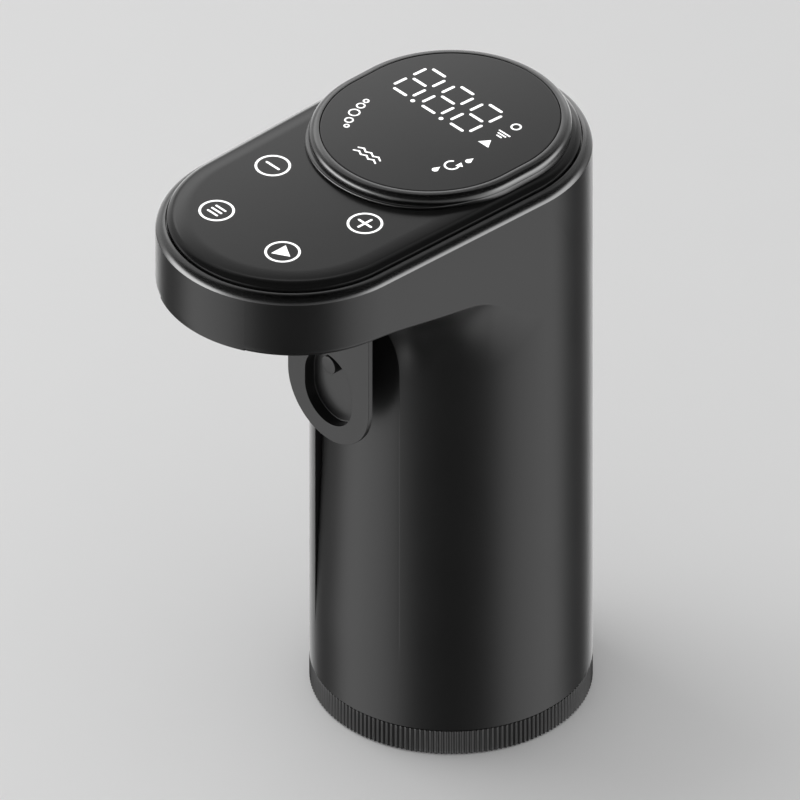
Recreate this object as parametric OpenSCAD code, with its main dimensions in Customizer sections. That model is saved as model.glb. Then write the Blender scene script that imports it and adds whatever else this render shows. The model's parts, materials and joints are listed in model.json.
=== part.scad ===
// Electric wine aerator that stands on a bottle neck: a round column with an
// overhanging control head, a push lever under the head and a gear pump inside.
// Millimetres, +Z up, -Y is the front. The origin is the centre of the bottle
// socket's mouth, on the plane that the part stands on.

/* [Column] */
// Outer diameter of the column
column_d = 60; // [58:0.5:64]
// Wall thickness of the moulded shell
wall = 2.2; // [1.8:0.1:2.6]
// Height of the head's underside
head_z = 124.5; // [122:0.5:140]
// Radius of the concave blend between column and head
blend_r = 18; // [12:1:24]

/* [Head] */
// Height of the head's moulded side wall
head_h = 13; // [12.5:0.1:15]
// Distance from the column's axis to the centre of the rounded front end
head_reach = 45.4; // [44:0.2:52]
// How much smaller the front end's radius is than the column's
head_taper = 0.85; // [0.6:0.05:1.2]
// Thickness of the head's floor
floor_t = 2.2; // [1.8:0.1:2.6]
// Height of the satin trim ring around the top edge
trim_h = 2.25; // [2.1:0.05:2.8]
// Radius of the trim ring's rounded edge
trim_round = 2.05; // [1.6:0.05:2.1]

/* [Touch panel] */
// Gap between the panel and the trim ring
panel_gap = 0.25; // [0.2:0.05:0.4]
// Width of the panel's pillowed edge
pillow_w = 3; // [2.8:0.1:4]
// Rise of the panel's top above the trim ring
pillow_rise = 2.6; // [2.4:0.1:3]
// Thickness of the panel's plate
panel_t = 2.2; // [1.8:0.1:2.6]
// Thickness of the adhesive gasket under the panel's edge
gasket_t = 0.5; // [0.4:0.1:0.8]
// Distance of the two rear touch keys from the head's sides
rear_key_inset = 14.75; // [13:0.25:16]
// Distance of the two rear touch keys behind the front end's centre
rear_key_back = 7.3; // [5:0.1:9]
// Distance of the two front touch keys from the head's front edge
front_key_inset = 12.87; // [12:0.01:14]
// Turn of the two front touch keys from the middle, about the front end's centre
front_key_turn = 39.3; // [34:0.1:44]
// Radius of a touch spring
key_spring_r = 3; // [2.4:0.1:3.4]

/* [Display island] */
// Outer radius of the display bezel
bezel_r = 25.6; // [25:0.1:26]
// Radius of the display lens
lens_r = 23.2; // [22.6:0.1:23.3]
// Length of the island's straight sides
island_len = 6.2; // [4:0.2:7]
// Gap between lens and bezel
lens_gap = 0.15; // [0.1:0.05:0.3]
// Thickness of the lens, and height of the bezel
lens_t = 1.8; // [1.4:0.1:2.2]
// Width of the display module
module_w = 35; // [32:0.5:36]
// Length of the display module
module_len = 38; // [34:0.5:39]

/* [Lever] */
// Width of the channel in the column behind the lever
channel_w = 26.1; // [24:0.1:27]
// Height at which the channel starts
channel_foot_z = 22; // [18:1:40]
// Angle by which the channel's floor leans back
channel_lean = 2.15; // [1.95:0.05:2.4]
// Gap between the lever and each side of the channel
lever_gap = 0.45; // [0.35:0.05:0.8]
// Forward distance of the lever's front face from the column's axis
lever_face_c = 35.3; // [35:0.1:38]
// Thickness of the lever's plate
lever_t = 1.15; // [1:0.05:1.5]
// How far the lever hangs below the head
lever_drop = 46.8; // [44:0.2:50]
// Half width of the lever's oval recess
recess_r = 7.25; // [6.5:0.05:8]
// Height by which the recess is longer than it is wide
recess_stretch = 3.1; // [2:0.1:4]
// Depth of the recess
recess_depth = 2.6; // [2:0.1:2.7]
// Wall of the cup around the recess
cup_wall = 0.9; // [0.7:0.1:1]
// Radius of the round stud in the recess
bumper_r = 2.1; // [1.6:0.1:2.4]
// Radius of the lever's pivot pin
pin_r = 1; // [0.8:0.1:1.2]
// Height of the pivot above the head's floor
pivot_rise = 3.1; // [2.9:0.1:3.5]
// Outer radius of the lever's hub
hub_r = 2.4; // [2.1:0.1:2.6]
// Length of the rear arm that works the switch, up to the plunger
switch_arm = 10; // [9:0.5:11]
// Length of the front arm, up to the return spring
spring_arm = 8; // [6.5:0.5:9]
// Outer radius of the return spring
spring_r = 2.4; // [2.2:0.1:2.8]

/* [Outlet] */
// Forward distance of the nozzle from the column's axis
nozzle_c = 54; // [53:0.5:58]
// Outer radius of the nozzle
nozzle_r = 5; // [4.6:0.1:5.6]
// Radius of the nozzle's bore
nozzle_bore_r = 3.2; // [2.8:0.1:3.6]
// How far the nozzle hangs below the head
nozzle_drop = 8; // [6:0.5:12]
// Outer radius of the silicone tubes
tube_r = 3; // [2.6:0.1:3.2]
// Bore radius of the silicone tubes
tube_bore_r = 2; // [1.7:0.1:2.1]

/* [Pump] */
// Number of teeth of each pump gear
gear_teeth = 12; // [12:2:14]
// Module of the pump gears
gear_module = 0.9; // [0.8:0.05:0.95]
// Width of the pump gears
gear_w = 8; // [6:0.5:10]
// Thickness of the metal round the gear chamber
pump_wall = 1.9; // [1.6:0.1:2.2]
// Thickness of the pump's cover
cover_t = 3; // [2.5:0.5:4]
// Radius of the pump's shafts
shaft_r = 1.5; // [1.2:0.1:1.6]
// Diameter of the motor
motor_d = 24.4; // [23:0.2:25]
// Length of the motor's can
motor_len = 31; // [28:0.5:33]

/* [Power] */
// Length of the battery cell
battery_len = 65; // [60:0.5:67]
// Width of the charging board
power_board_w = 20; // [19:0.5:22]
// Height of the charging board
power_board_h = 34; // [30:1:40]
// Height of the charging socket above the board's lower edge
usb_rise = 9; // [7:0.5:14]

/* [Base] */
// Height of the knurled base ring
base_ring_h = 6.1; // [5.8:0.1:7]
// Number of ribs on the base ring
rib_count = 174; // [120:2:200]
// Depth of the ribs
rib_depth = 0.3; // [0.2:0.05:0.4]
// Bore radius of the bottle seal
socket_r = 14.8; // [14.4:0.1:15.2]
// Wall of the bottle seal
seal_t = 2.7; // [2.2:0.1:2.9]
// Depth of the bottle socket
socket_depth = 36.5; // [30:0.5:38]
// Radius of the port that takes the suction tube
suction_r = 2.5; // [2:0.1:2.8]
// Depth of the suction port
suction_depth = 7; // [5:0.5:7.5]

/* [Hidden] */
$fn = 96;
eps = 0.1;
// Clearances: running fit, push fit, and room between separate pieces
run_fit = 0.05;
push_fit = 0.05;
room = 0.3;
// How far an arc dips past its neighbours, so that it meets them at a small angle
ease = 0.02;
// Angle by which bends run on into the straights beside them
lap = 0.6;
// Half of the blend's turn about the column, ending short of the head's tangent
blend_half = 84;

// Levels of the base
foot_h = 0.8;
plate_t = 1.2;
lip_t = 1.4;
plate_top_z = foot_h + plate_t;
shell_foot_z = base_ring_h + room;
lip_z = shell_foot_z - lip_t;
spigot_t = 2;
flange_top_z = shell_foot_z + spigot_t;
ceiling_t = 3;
ceiling_top_z = socket_depth + ceiling_t;

// Radii of the base
column_r = column_d / 2;
shell_in_r = column_r - wall;
head_front_r = column_r - head_taper;
collar_inset = 4.05;
collar_r = column_r - collar_inset;
ring_web_z0 = plate_top_z + room;
ring_web_z1 = lip_z - room;
plate_inset = 2.5;
plate_r = column_r - plate_inset;
lip_inset = 1.2;
lip_r = column_r - lip_inset;
cup_in_r = socket_r + seal_t + push_fit;
socket_wall = 2;
cup_out_r = cup_in_r + socket_wall;
foot_out_r = plate_r - 0.5;
foot_w = 1.9;
foot_in_r = foot_out_r - foot_w;
foot_seat = 0.6;

// Chassis
elbow_rise = 6.5;
elbow_z = ceiling_top_z + elbow_rise;
bend_r = 6.5;
stem_r = suction_r + 1.7;
stem_flange_r = stem_r + 2;
stem_flange_t = 1.5;
chassis_z = elbow_z + bend_r + 1.5;
chassis_t = 3;
deck_z = chassis_z + chassis_t;
deck_r = shell_in_r - 1.5;
ledge_t = 2.2;
ledge_in_r = deck_r - 1;
post_r = 2.6;
post_orbit = cup_out_r + room + post_r;
post_angles = [90, 210, 330];
screw_r = 1.25;
screw_head_r = 2.3;
screw_head_t = 1;
base_screw_len = 14;
post_hole = foot_h + foot_seat + base_screw_len + room - flange_top_z;
side_room = 2;

// Pump gears and their axes
pressure_angle = 28;
pitch_r = gear_teeth * gear_module / 2;
tip_r = pitch_r + 0.9 * gear_module;
root_r = pitch_r - 1.15 * gear_module;
backlash = 0.14;
chamber_r = tip_r + 0.15;
end_float = 0.1;
pump_y = 2;
drive_x = shell_in_r - side_room - motor_d / 2;
driven_x = drive_x - 2 * pitch_r;
mesh_x = drive_x - pitch_r;
pump_body_r = chamber_r + pump_wall;
lug_dx = 5.1;
lug_dy = pump_body_r - 0.4;
lug_r = 2.8;
port_lug_r = 4;
port_w = 4;
port_h = 5;
port_r = 1.2;
barb_r = tube_bore_r - push_fit;
barb_len = 6;
inlet_y = pump_y + pump_body_r + 0.2;
inlet_angle = atan2(inlet_y, mesh_x);
inlet_reach = norm([mesh_x, inlet_y]);
outlet_y = pump_y - motor_d / 2 - tube_r - room;
paper_t = 0.4;
cover_top_z = deck_z + cover_t;
housing_z = cover_top_z + paper_t;
chamber_h = gear_w + 2 * end_float;
roof_t = 3.6;
pump_top_z = housing_z + chamber_h + roof_t;
shaft_seal_r = 4;
shaft_seal_t = 2;

// Motor
can_t = 1;
motor_cap_t = 3;
magnet_t = 2;
air_gap = 0.4;
motor_in_r = motor_d / 2 - can_t;
armature_r = motor_in_r - magnet_t - air_gap;
motor_end_room = 6;
armature_len = motor_len - 2 * motor_end_room;
armature_z = pump_top_z + motor_end_room;
motor_top_z = pump_top_z + motor_len + motor_cap_t;
driven_pin_end = 1.5;
shaft_end = 1;
pole_gap = 2;
pole_root_r = 0.55 * armature_r;

// Battery and charging board
cradle_t = 1.4;
battery_d = shell_in_r - side_room + driven_x - pump_body_r - cradle_t - 2 * push_fit - room;
battery_x = -(shell_in_r - side_room - battery_d / 2);
cradle_h = 15;
battery_tip_r = 3;
battery_tip_h = 1;
board_t = 1.6;
power_board_y = shell_in_r - 5;
rail_w = 4;
rail_d = 3;
rail_x = power_board_w / 2 - rail_w / 2;
usb_w = 9;
usb_h = 3.2;
usb_wall = 0.4;
usb_back_t = 1;
usb_gap = 0.35;
usb_z = deck_z + usb_rise;
usb_back_y = column_r - 0.6;

// Head levels
shell_top_z = head_z + head_h;
floor_z = head_z + floor_t;
rim_z = shell_top_z + trim_h;
panel_top_z = rim_z + pillow_rise;
panel_under_z = panel_top_z - panel_t;
shelf_t = 0.55;
shelf_w = 3;
panel_inset = trim_round + panel_gap;
panel_edge_z = shell_top_z + shelf_t + gasket_t;
pillow_r = (pow(pillow_w, 2) + pow(pillow_rise, 2)) / (2 * pillow_rise);
pad_z = panel_top_z + 0.2;
island_top_z = pad_z + lens_t;
bezel_in_r = lens_r + lens_gap;
bezel_round = lens_t - 0.1;
panel_hollow_inset = panel_inset + pillow_w + 0.8;

// Control board and display module
key_gap = 2.4;
board_top_z = panel_under_z - key_gap;
board_z = board_top_z - board_t;
board_inset = wall + 3.8;
boss_r = 2.4;
boss_inset = 8.6;
boss_front = 4.6;
boss_back = 6;
boss_points = [
    [column_r - boss_inset, -boss_back],
    [head_front_r - boss_inset - 1, head_reach + boss_front]
];
boss_bore_r = 0.9;
boss_end = 1;
board_screw_head_r = 1.9;
power_screw_head_r = 1.7;
module_c = 6;
module_top_z = pad_z - room;
window_gap = 0.5;
rear_key_x = head_front_r - rear_key_inset;
front_key_r = head_front_r - front_key_inset;
key_points = [for (side = [-1, 1]) each [
    [side * rear_key_x, head_reach - rear_key_back],
    [side * front_key_r * sin(front_key_turn), head_reach + front_key_r * cos(front_key_turn)]
]];
key_wire = 0.6;

// Lever
lever_w = channel_w - 2 * lever_gap;
lever_r = lever_w / 2;
lever_end_z = head_z - lever_drop + lever_r;
recess_z = lever_end_z + 0.3;
recess_floor_c = lever_face_c - recess_depth;
cup_back_c = recess_floor_c - cup_wall;
bumper_z = recess_z + recess_stretch / 2 + 4.55;
pivot_z = floor_z + pivot_rise;
pivot_c = lever_face_c - lever_t / 2;
arm_t = 1.6;
rear_arm_z = pivot_z - 0.9;
rear_arm_top_z = rear_arm_z + arm_t;
front_arm_z = pivot_z + hub_r - arm_t;
arm_w = 6;
arm_tail = 2;
ear_t = 2.2;
ear_depth = 6;
ear_top_z = pivot_z + hub_r;
pin_half = channel_w / 2 + ear_t;
slot_back_c = cup_back_c - 0.4;
slot_front_c = lever_face_c + 0.35;
spring_wire = 0.5;
spring_post_h = 1.5;
spring_c = pivot_c + spring_arm;

// Switch
plunger_r = 1.7;
plunger_c = pivot_c - switch_arm;
plunger_z = rear_arm_top_z + 0.15;
plunger_len = 2.7;
switch_z = rear_arm_top_z + 1.5;
switch_w = 6.5;
plunger_room = 1;

// Nozzle and outlet tube
nozzle_end_z = head_z - nozzle_drop;
nozzle_flange_r = nozzle_r + 3;
nozzle_flange_t = 1.3;
nozzle_ring_t = 0.7;
nozzle_cap_rise = 8;
nozzle_cap_z = floor_z + nozzle_cap_rise;
outlet_z = floor_z + nozzle_ring_t + nozzle_flange_t + room + tube_r;
nut_t = 3;
nut_r = nozzle_r + 3.2;
insert_t = 3;
insert_inset = 0.5;
insert_hole_r = 0.45;
insert_orbit = 1.9;
tube_lane_x = channel_w / 2 + ear_t + room + tube_r + 0.4;
lane_bend_r = 8.5;
front_bend_r = 9;
s_bend_r = 15;
s_angle = 35;
s_run = (tube_lane_x - mesh_x - 2 * s_bend_r * (1 - cos(s_angle))) / sin(s_angle);
s_rise = 2 * s_bend_r * sin(s_angle) + s_run * cos(s_angle);
tube_start_z = pump_top_z;
tube_top_run = 6;
tube_low_run = outlet_z - lane_bend_r - tube_top_run - s_rise - tube_start_z;

shell_color = "#3c3c3e";
trim_color = "#6c6c70";
gloss_color = "#111113";
board_color = "#1f5a36";
steel_color = "#b8bcc2";
rubber_color = "#2a2a2c";
silicone_color = "#c9ccd0";
plastic_color = "#d8d8d4";
pump_color = "#54585c";

// Shared shapes

// Angle by which the straight sides lean where the two end radii differ
function lean(r1, r2, reach) = asin((r1 - r2) / reach);

// Middle of a plan outline: the area between the tangents of a rear and a front circle
module track_sides(r1, r2, reach) {
    a = lean(r1, r2, reach);
    polygon([for (p = [[1, 0], [1, 1], [-1, 1], [-1, 0]])
        let (r = (p[1] == 0 ? r1 : r2) - ease) [p[0] * r * cos(a), -p[1] * reach - r * sin(a)]]);
}

// Filled plan outline: a rear circle and a front circle joined by their tangents
module track(r1, r2, reach) {
    circle(r1);
    translate([0, -reach]) circle(r2);
    track_sides(r1, r2, reach);
}

// Plate with that outline
module track_plate(r1, r2, reach, h) {
    cylinder(r = r1, h = h);
    translate([0, -reach, 0]) cylinder(r = r2, h = h);
    linear_extrude(h) track_sides(r1, r2, reach);
}

// A section carried round that outline; the section's x is 0 on the outline. Both ends are whole
// turns, and what they leave inside the outline is covered or cut away
module track_sweep(r1, r2, reach) {
    a = lean(r1, r2, reach);
    rotate_extrude() translate([r1, 0]) children();
    translate([0, -reach, 0]) rotate_extrude() translate([r2, 0]) children();
    for (side = [0, 1]) mirror([side, 0, 0]) rotate([0, 0, -a]) rotate([90, 0, 0])
        linear_extrude(reach * cos(a)) translate([r1 - ease, 0]) children();
}

// Section between two corners, with its upper outer corner rounded
module round_section(x0, z0, z1, r) {
    difference() {
        translate([x0, z0]) square([-x0, z1 - z0]);
        difference() {
            translate([-r, z1 - r]) square(r + eps);
            translate([-r, z1 - r]) circle(r);
        }
    }
}

// The head's outline, drawn in by an inset
module head_track(inset) {
    track(column_r - inset, head_front_r - inset, head_reach);
}

// A section carried round the head's outline
module head_sweep(inset = 0) {
    track_sweep(column_r - inset, head_front_r - inset, head_reach) children();
}

// Plate with the head's outline, drawn in by an inset
module head_plate(inset, z, h) {
    translate([0, 0, z]) track_plate(column_r - inset, head_front_r - inset, head_reach, h);
}

// Hollow cylinder standing on z
module sleeve(r_out, r_in, z, h) {
    translate([0, 0, z]) difference() {
        cylinder(r = r_out, h = h);
        translate([0, 0, -eps]) cylinder(r = r_in, h = h + 2 * eps);
    }
}

// Screw pointing up, with its head below z
module screw_up(z, shank_len) {
    translate([0, 0, z - screw_head_t]) cylinder(r = screw_head_r, h = screw_head_t);
    translate([0, 0, z]) cylinder(r = screw_r, h = shank_len);
}

// Round bar that follows steps from +Z: [length], or [angle, bend radius, direction]. Bends are
// drawn in by a slack and reach a little way into the straights beside them
module tube_run(steps, r, slack, i = 0) {
    if (i < len(steps)) {
        s = steps[i];
        if (len(s) == 1) {
            cylinder(r = r, h = s[0]);
            translate([0, 0, s[0]]) tube_run(steps, r, slack, i + 1);
        } else {
            rotate([0, 0, s[2]]) {
                translate([s[1], 0, 0]) rotate([90, 0, 180]) rotate([0, 0, -lap])
                    rotate_extrude(angle = s[0] + 2 * lap) translate([s[1], 0]) circle(r - slack);
                translate([s[1] * (1 - cos(s[0])), 0, s[1] * sin(s[0])])
                    rotate([0, s[0], 0]) rotate([0, 0, -s[2]]) tube_run(steps, r, slack, i + 1);
            }
        }
    }
}

// Silicone tube along steps
module soft_tube(steps) {
    difference() {
        tube_run(steps, tube_r, ease);
        tube_run(steps, tube_bore_r, -ease);
    }
}

// Children at the places of the pump's four screws
module pump_screw_places() {
    for (x = [drive_x + lug_dx, driven_x - lug_dx]) for (side = [-1, 1])
        translate([x, pump_y + side * lug_dy, 0]) children();
}

// Children at the places of the three base screws
module post_places() {
    for (a = post_angles) rotate([0, 0, a]) translate([post_orbit, 0, 0]) children();
}

// Children at the places of the control board's four screws
module boss_places() {
    for (p = boss_points) for (side = [-1, 1]) translate([side * p[0], -p[1], 0]) children();
}

// Body shell

// Cone that narrows upwards from the channel's foot, for the channel's floor
module leaned_column(r) {
    h = floor_z + eps - channel_foot_z;
    translate([0, 0, channel_foot_z])
        cylinder(r1 = r + ease, r2 = r + ease - h * tan(channel_lean), h = h);
}

// Block in front of the axis, as wide as the channel and an extra on each side
module channel_block(extra, top_z) {
    translate([-channel_w / 2 - extra, -column_r - blend_r - eps, channel_foot_z])
        cube([channel_w + 2 * extra, column_r + blend_r + eps, top_z - channel_foot_z]);
}

// Concave blend under the head, trimmed to the head's straight sides
module blend() {
    a = lean(column_r, head_front_r, head_reach);
    far = column_r + blend_r + eps;
    far_x = (column_r - far * sin(a)) / cos(a);
    intersection() {
        rotate([0, 0, -90 - blend_half]) rotate_extrude(angle = 2 * blend_half) difference() {
            translate([column_r - wall / 2, head_z - blend_r])
                square([blend_r + wall / 2, blend_r + floor_t / 2]);
            translate([column_r + blend_r - ease, head_z - blend_r + ease]) circle(blend_r);
        }
        translate([0, 0, head_z - blend_r - eps]) linear_extrude(blend_r + floor_t)
            polygon([[column_r / cos(a), 0], [far_x, -far], [-far_x, -far], [-column_r / cos(a), 0]]);
    }
}

module shell_outer() {
    translate([0, 0, shell_foot_z]) cylinder(r = column_r, h = head_z - shell_foot_z);
    translate([0, 0, head_z]) linear_extrude(head_h) head_track(0);
    blend();
}

// Bore of the column, with the chassis ledge and the channel's wall left standing in it
module column_bore() {
    difference() {
        rotate_extrude() polygon([
            [0, shell_foot_z - eps], [shell_in_r, shell_foot_z - eps],
            [shell_in_r, chassis_z - ledge_t], [ledge_in_r, chassis_z - ledge_t],
            [ledge_in_r, chassis_z], [shell_in_r, chassis_z], [shell_in_r, floor_z], [0, floor_z]
        ]);
        difference() {
            channel_block(wall, floor_z + eps);
            leaned_column(shell_in_r);
        }
    }
}

// Room in the head, with the lever's ears and the spring's post left standing in it
module head_pocket() {
    difference() {
        translate([0, 0, floor_z]) linear_extrude(head_h) head_track(wall);
        for (side = [0, 1]) mirror([side, 0, 0])
            translate([channel_w / 2, -pivot_c - ear_depth / 2, floor_z - eps])
                cube([ear_t, ear_depth, ear_top_z - floor_z + eps]);
        translate([0, -spring_c, floor_z - eps])
            cylinder(r = spring_r - spring_wire - room, h = spring_post_h + eps);
    }
}

// Stadium-shaped bar along Y, for the charging socket and its opening
module usb_bar(w, h, y0, y1) {
    translate([0, y1, usb_z]) rotate([90, 0, 0]) linear_extrude(y1 - y0) {
        for (side = [-1, 1]) translate([side * (w - h) / 2, 0]) circle(h / 2);
        square([w - h, h], center = true);
    }
}

module body_shell() {
    color(shell_color) difference() {
        shell_outer();
        column_bore();
        head_pocket();
        difference() {
            channel_block(0, head_z);
            leaned_column(column_r);
        }
        translate([-channel_w / 2, -slot_front_c, head_z - eps])
            cube([channel_w, slot_front_c - slot_back_c, floor_t + 2 * eps]);
        translate([-pin_half - eps, -pivot_c, pivot_z]) rotate([0, 90, 0])
            cylinder(r = pin_r + push_fit / 2, h = 2 * (pin_half + eps));
        translate([0, -nozzle_c, head_z - eps])
            cylinder(r = nozzle_r + push_fit, h = floor_t + 2 * eps);
        usb_bar(usb_w + 2 * usb_gap, usb_h + 2 * usb_gap, power_board_y, column_r + eps);
    }
}

// Head

// Trim ring: a rounded rim with a shelf inside it for the panel
module head_trim() {
    color(trim_color) difference() {
        head_sweep() round_section(-trim_round - shelf_w - eps, shell_top_z, rim_z, trim_round);
        head_plate(trim_round, shell_top_z + shelf_t, trim_h);
        head_plate(trim_round + shelf_w, shell_top_z - eps, trim_h + 2 * eps);
    }
}

// Glossy panel with a pillowed edge, a low pad under the island and a display window
module touch_panel() {
    color(gloss_color) difference() {
        union() {
            difference() {
                union() {
                    head_plate(panel_inset + pillow_w, panel_edge_z, panel_top_z - panel_edge_z);
                    head_sweep(panel_inset) intersection() {
                        translate([-pillow_w, panel_top_z - pillow_r + ease]) circle(pillow_r);
                        translate([-pillow_w - eps, panel_edge_z])
                            square([pillow_w + eps, panel_top_z - panel_edge_z]);
                    }
                    translate([0, 0, panel_edge_z])
                        track_plate(bezel_r, bezel_r, island_len, pad_z - panel_edge_z);
                }
                head_plate(panel_hollow_inset, panel_edge_z - eps, panel_under_z - panel_edge_z + eps);
            }
            boss_places() translate([0, 0, board_top_z])
                cylinder(r = boss_r, h = panel_under_z - board_top_z + eps);
        }
        boss_places() translate([0, 0, board_top_z - eps])
            cylinder(r = boss_bore_r, h = key_gap + boss_end);
        translate([-module_w / 2 - window_gap, -module_c - module_len / 2 - window_gap, panel_edge_z - eps])
            cube([module_w + 2 * window_gap, module_len + 2 * window_gap, pad_z - panel_edge_z + 2 * eps]);
    }
}

module panel_gasket() {
    color(rubber_color) difference() {
        head_plate(panel_inset + panel_gap, shell_top_z + shelf_t, gasket_t);
        head_plate(panel_inset + shelf_w - panel_gap, shell_top_z + shelf_t - eps, gasket_t + 2 * eps);
    }
}

// Satin ring round the lens, with a rounded outer edge
module display_bezel() {
    color(trim_color) difference() {
        track_sweep(bezel_r, bezel_r, island_len)
            round_section(bezel_in_r - bezel_r - eps, pad_z, island_top_z, bezel_round);
        translate([0, 0, pad_z - eps]) track_plate(bezel_in_r, bezel_in_r, island_len, lens_t + 2 * eps);
    }
}

module display_lens() {
    color("#1b1b1d") translate([0, 0, pad_z]) track_plate(lens_r, lens_r, island_len, lens_t);
}

module display_module() {
    color("#2c2c30") translate([-module_w / 2, -module_c - module_len / 2, board_top_z])
        cube([module_w, module_len, module_top_z - board_top_z]);
}

module control_board() {
    color(board_color) difference() {
        head_plate(board_inset, board_z, board_t);
        boss_places() translate([0, 0, board_z - eps])
            cylinder(r = boss_bore_r + room, h = board_t + 2 * eps);
    }
}

module touch_springs() {
    color(steel_color) for (p = key_points) translate([p[0], -p[1], 0])
        sleeve(key_spring_r, key_spring_r - key_wire, board_top_z, key_gap);
}

module board_screws() {
    color(steel_color) boss_places() {
        translate([0, 0, board_z - screw_head_t]) cylinder(r = board_screw_head_r, h = screw_head_t);
        translate([0, 0, board_z]) cylinder(r = boss_bore_r - push_fit, h = board_t + key_gap);
    }
}

// Lever and switch

// Oval outline in the lever's own face, grown by an extra
module recess_outline(extra) {
    for (side = [-1, 1]) translate([0, recess_z + side * recess_stretch / 2]) circle(recess_r + extra);
    translate([-recess_r - extra, recess_z - recess_stretch / 2])
        square([2 * (recess_r + extra), recess_stretch]);
}

// Face shapes stood up across the Y axis, between two forward distances
module stand_up(c0, c1) {
    translate([0, -c0, 0]) rotate([90, 0, 0]) linear_extrude(c1 - c0) children();
}

module dispense_lever() {
    color(shell_color) difference() {
        union() {
            stand_up(lever_face_c - lever_t, lever_face_c) {
                translate([0, lever_end_z]) circle(lever_r);
                translate([-lever_r, lever_end_z]) square([lever_w, pivot_z - lever_end_z]);
            }
            stand_up(cup_back_c, lever_face_c) recess_outline(cup_wall);
            translate([-lever_r, -pivot_c, pivot_z]) rotate([0, 90, 0]) cylinder(r = hub_r, h = lever_w);
            translate([-arm_w / 2, -pivot_c, rear_arm_z]) cube([arm_w, switch_arm + arm_tail, arm_t]);
            translate([-arm_w / 2, -spring_c - arm_tail, front_arm_z])
                cube([arm_w, spring_arm + arm_tail, arm_t]);
        }
        stand_up(recess_floor_c, lever_face_c + eps) recess_outline(0);
        translate([-column_r, -pivot_c, pivot_z]) rotate([0, 90, 0])
            cylinder(r = pin_r + run_fit, h = column_d);
    }
}

// Round stud that stands on the recess floor, flush with the lever's face
module lever_bumper() {
    color(rubber_color) stand_up(recess_floor_c, lever_face_c) translate([0, bumper_z]) circle(bumper_r);
}

module lever_pin() {
    color(steel_color) translate([-pin_half, -pivot_c, pivot_z]) rotate([0, 90, 0])
        cylinder(r = pin_r, h = 2 * pin_half);
}

module lever_spring() {
    color(steel_color) translate([0, -spring_c, 0])
        sleeve(spring_r, spring_r - spring_wire, floor_z, front_arm_z - floor_z);
}

module micro_switch() {
    color("#26262a") difference() {
        translate([-switch_w / 2, -plunger_c - switch_w / 2, switch_z])
            cube([switch_w, switch_w, board_z - switch_z]);
        translate([0, -plunger_c, switch_z - eps])
            cylinder(r = plunger_r + run_fit, h = plunger_z + plunger_len + plunger_room - switch_z + eps);
    }
}

module switch_plunger() {
    color("#c0392b") translate([0, -plunger_c, plunger_z]) cylinder(r = plunger_r, h = plunger_len);
}

// Outlet and tubes

module spout_nozzle() {
    color(plastic_color) difference() {
        union() {
            translate([0, -nozzle_c, nozzle_end_z]) cylinder(r = nozzle_r, h = nozzle_cap_z - nozzle_end_z);
            translate([0, -nozzle_c, floor_z + nozzle_ring_t])
                cylinder(r = nozzle_flange_r, h = nozzle_flange_t);
            translate([0, -nozzle_c, outlet_z]) rotate([0, 90, 0])
                cylinder(r = barb_r, h = nozzle_r + barb_len);
        }
        translate([0, -nozzle_c, nozzle_end_z - eps])
            cylinder(r = nozzle_bore_r, h = outlet_z + port_r - nozzle_end_z + eps);
        translate([0, -nozzle_c, outlet_z]) rotate([0, 90, 0])
            cylinder(r = port_r, h = nozzle_r + barb_len + eps);
    }
}

module nozzle_ring() {
    color(silicone_color) translate([0, -nozzle_c, 0])
        sleeve(nozzle_flange_r - room, nozzle_r + push_fit, floor_z, nozzle_ring_t);
}

module nozzle_nut() {
    color(shell_color) translate([0, -nozzle_c, head_z - nut_t]) difference() {
        cylinder(r = nut_r, h = nut_t, $fn = 6);
        translate([0, 0, -eps]) cylinder(r = nozzle_r + push_fit, h = nut_t + 2 * eps);
    }
}

// Perforated disc that breaks the stream up into air
module aerator_insert() {
    color(silicone_color) translate([0, -nozzle_c, nozzle_end_z + insert_inset]) difference() {
        cylinder(r = nozzle_bore_r - push_fit, h = insert_t);
        translate([0, 0, -eps]) cylinder(r = insert_hole_r, h = insert_t + 2 * eps);
        for (i = [0:5]) rotate([0, 0, 60 * i]) translate([insert_orbit, 0, -eps])
            cylinder(r = insert_hole_r, h = insert_t + 2 * eps);
    }
}

module outlet_tube() {
    forward_run = nozzle_c - front_bend_r + outlet_y - lane_bend_r;
    color(silicone_color) translate([mesh_x, outlet_y, tube_start_z]) soft_tube([
        [tube_low_run],
        [s_angle, s_bend_r, 0],
        [s_run],
        [s_angle, s_bend_r, 180],
        [tube_top_run],
        [90, lane_bend_r, -90],
        [forward_run],
        [90, front_bend_r, 180],
        [tube_lane_x - front_bend_r - nozzle_r - push_fit]
    ]);
}

module inlet_tube() {
    start = stem_r + push_fit;
    color(silicone_color) rotate([0, 0, inlet_angle]) translate([start, 0, elbow_z]) rotate([0, 90, 0])
        soft_tube([[inlet_reach - bend_r - start], [90, bend_r, 180], [deck_z - elbow_z - bend_r]]);
}

// Elbow in the socket's ceiling: a port for the suction tube below, a spigot at the side
module suction_fitting() {
    color(plastic_color) difference() {
        union() {
            translate([0, 0, socket_depth]) cylinder(r = stem_r, h = elbow_z + tube_r - socket_depth);
            translate([0, 0, ceiling_top_z]) cylinder(r = stem_flange_r, h = stem_flange_t);
            rotate([0, 0, inlet_angle]) translate([0, 0, elbow_z]) rotate([0, 90, 0])
                cylinder(r = barb_r, h = inlet_reach - bend_r);
        }
        translate([0, 0, socket_depth - eps]) cylinder(r = suction_r, h = suction_depth + eps);
        translate([0, 0, socket_depth]) cylinder(r = port_r, h = elbow_z - socket_depth);
        rotate([0, 0, inlet_angle]) translate([0, 0, elbow_z]) rotate([0, 90, 0])
            cylinder(r = port_r, h = inlet_reach);
    }
}

// Pump

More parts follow.
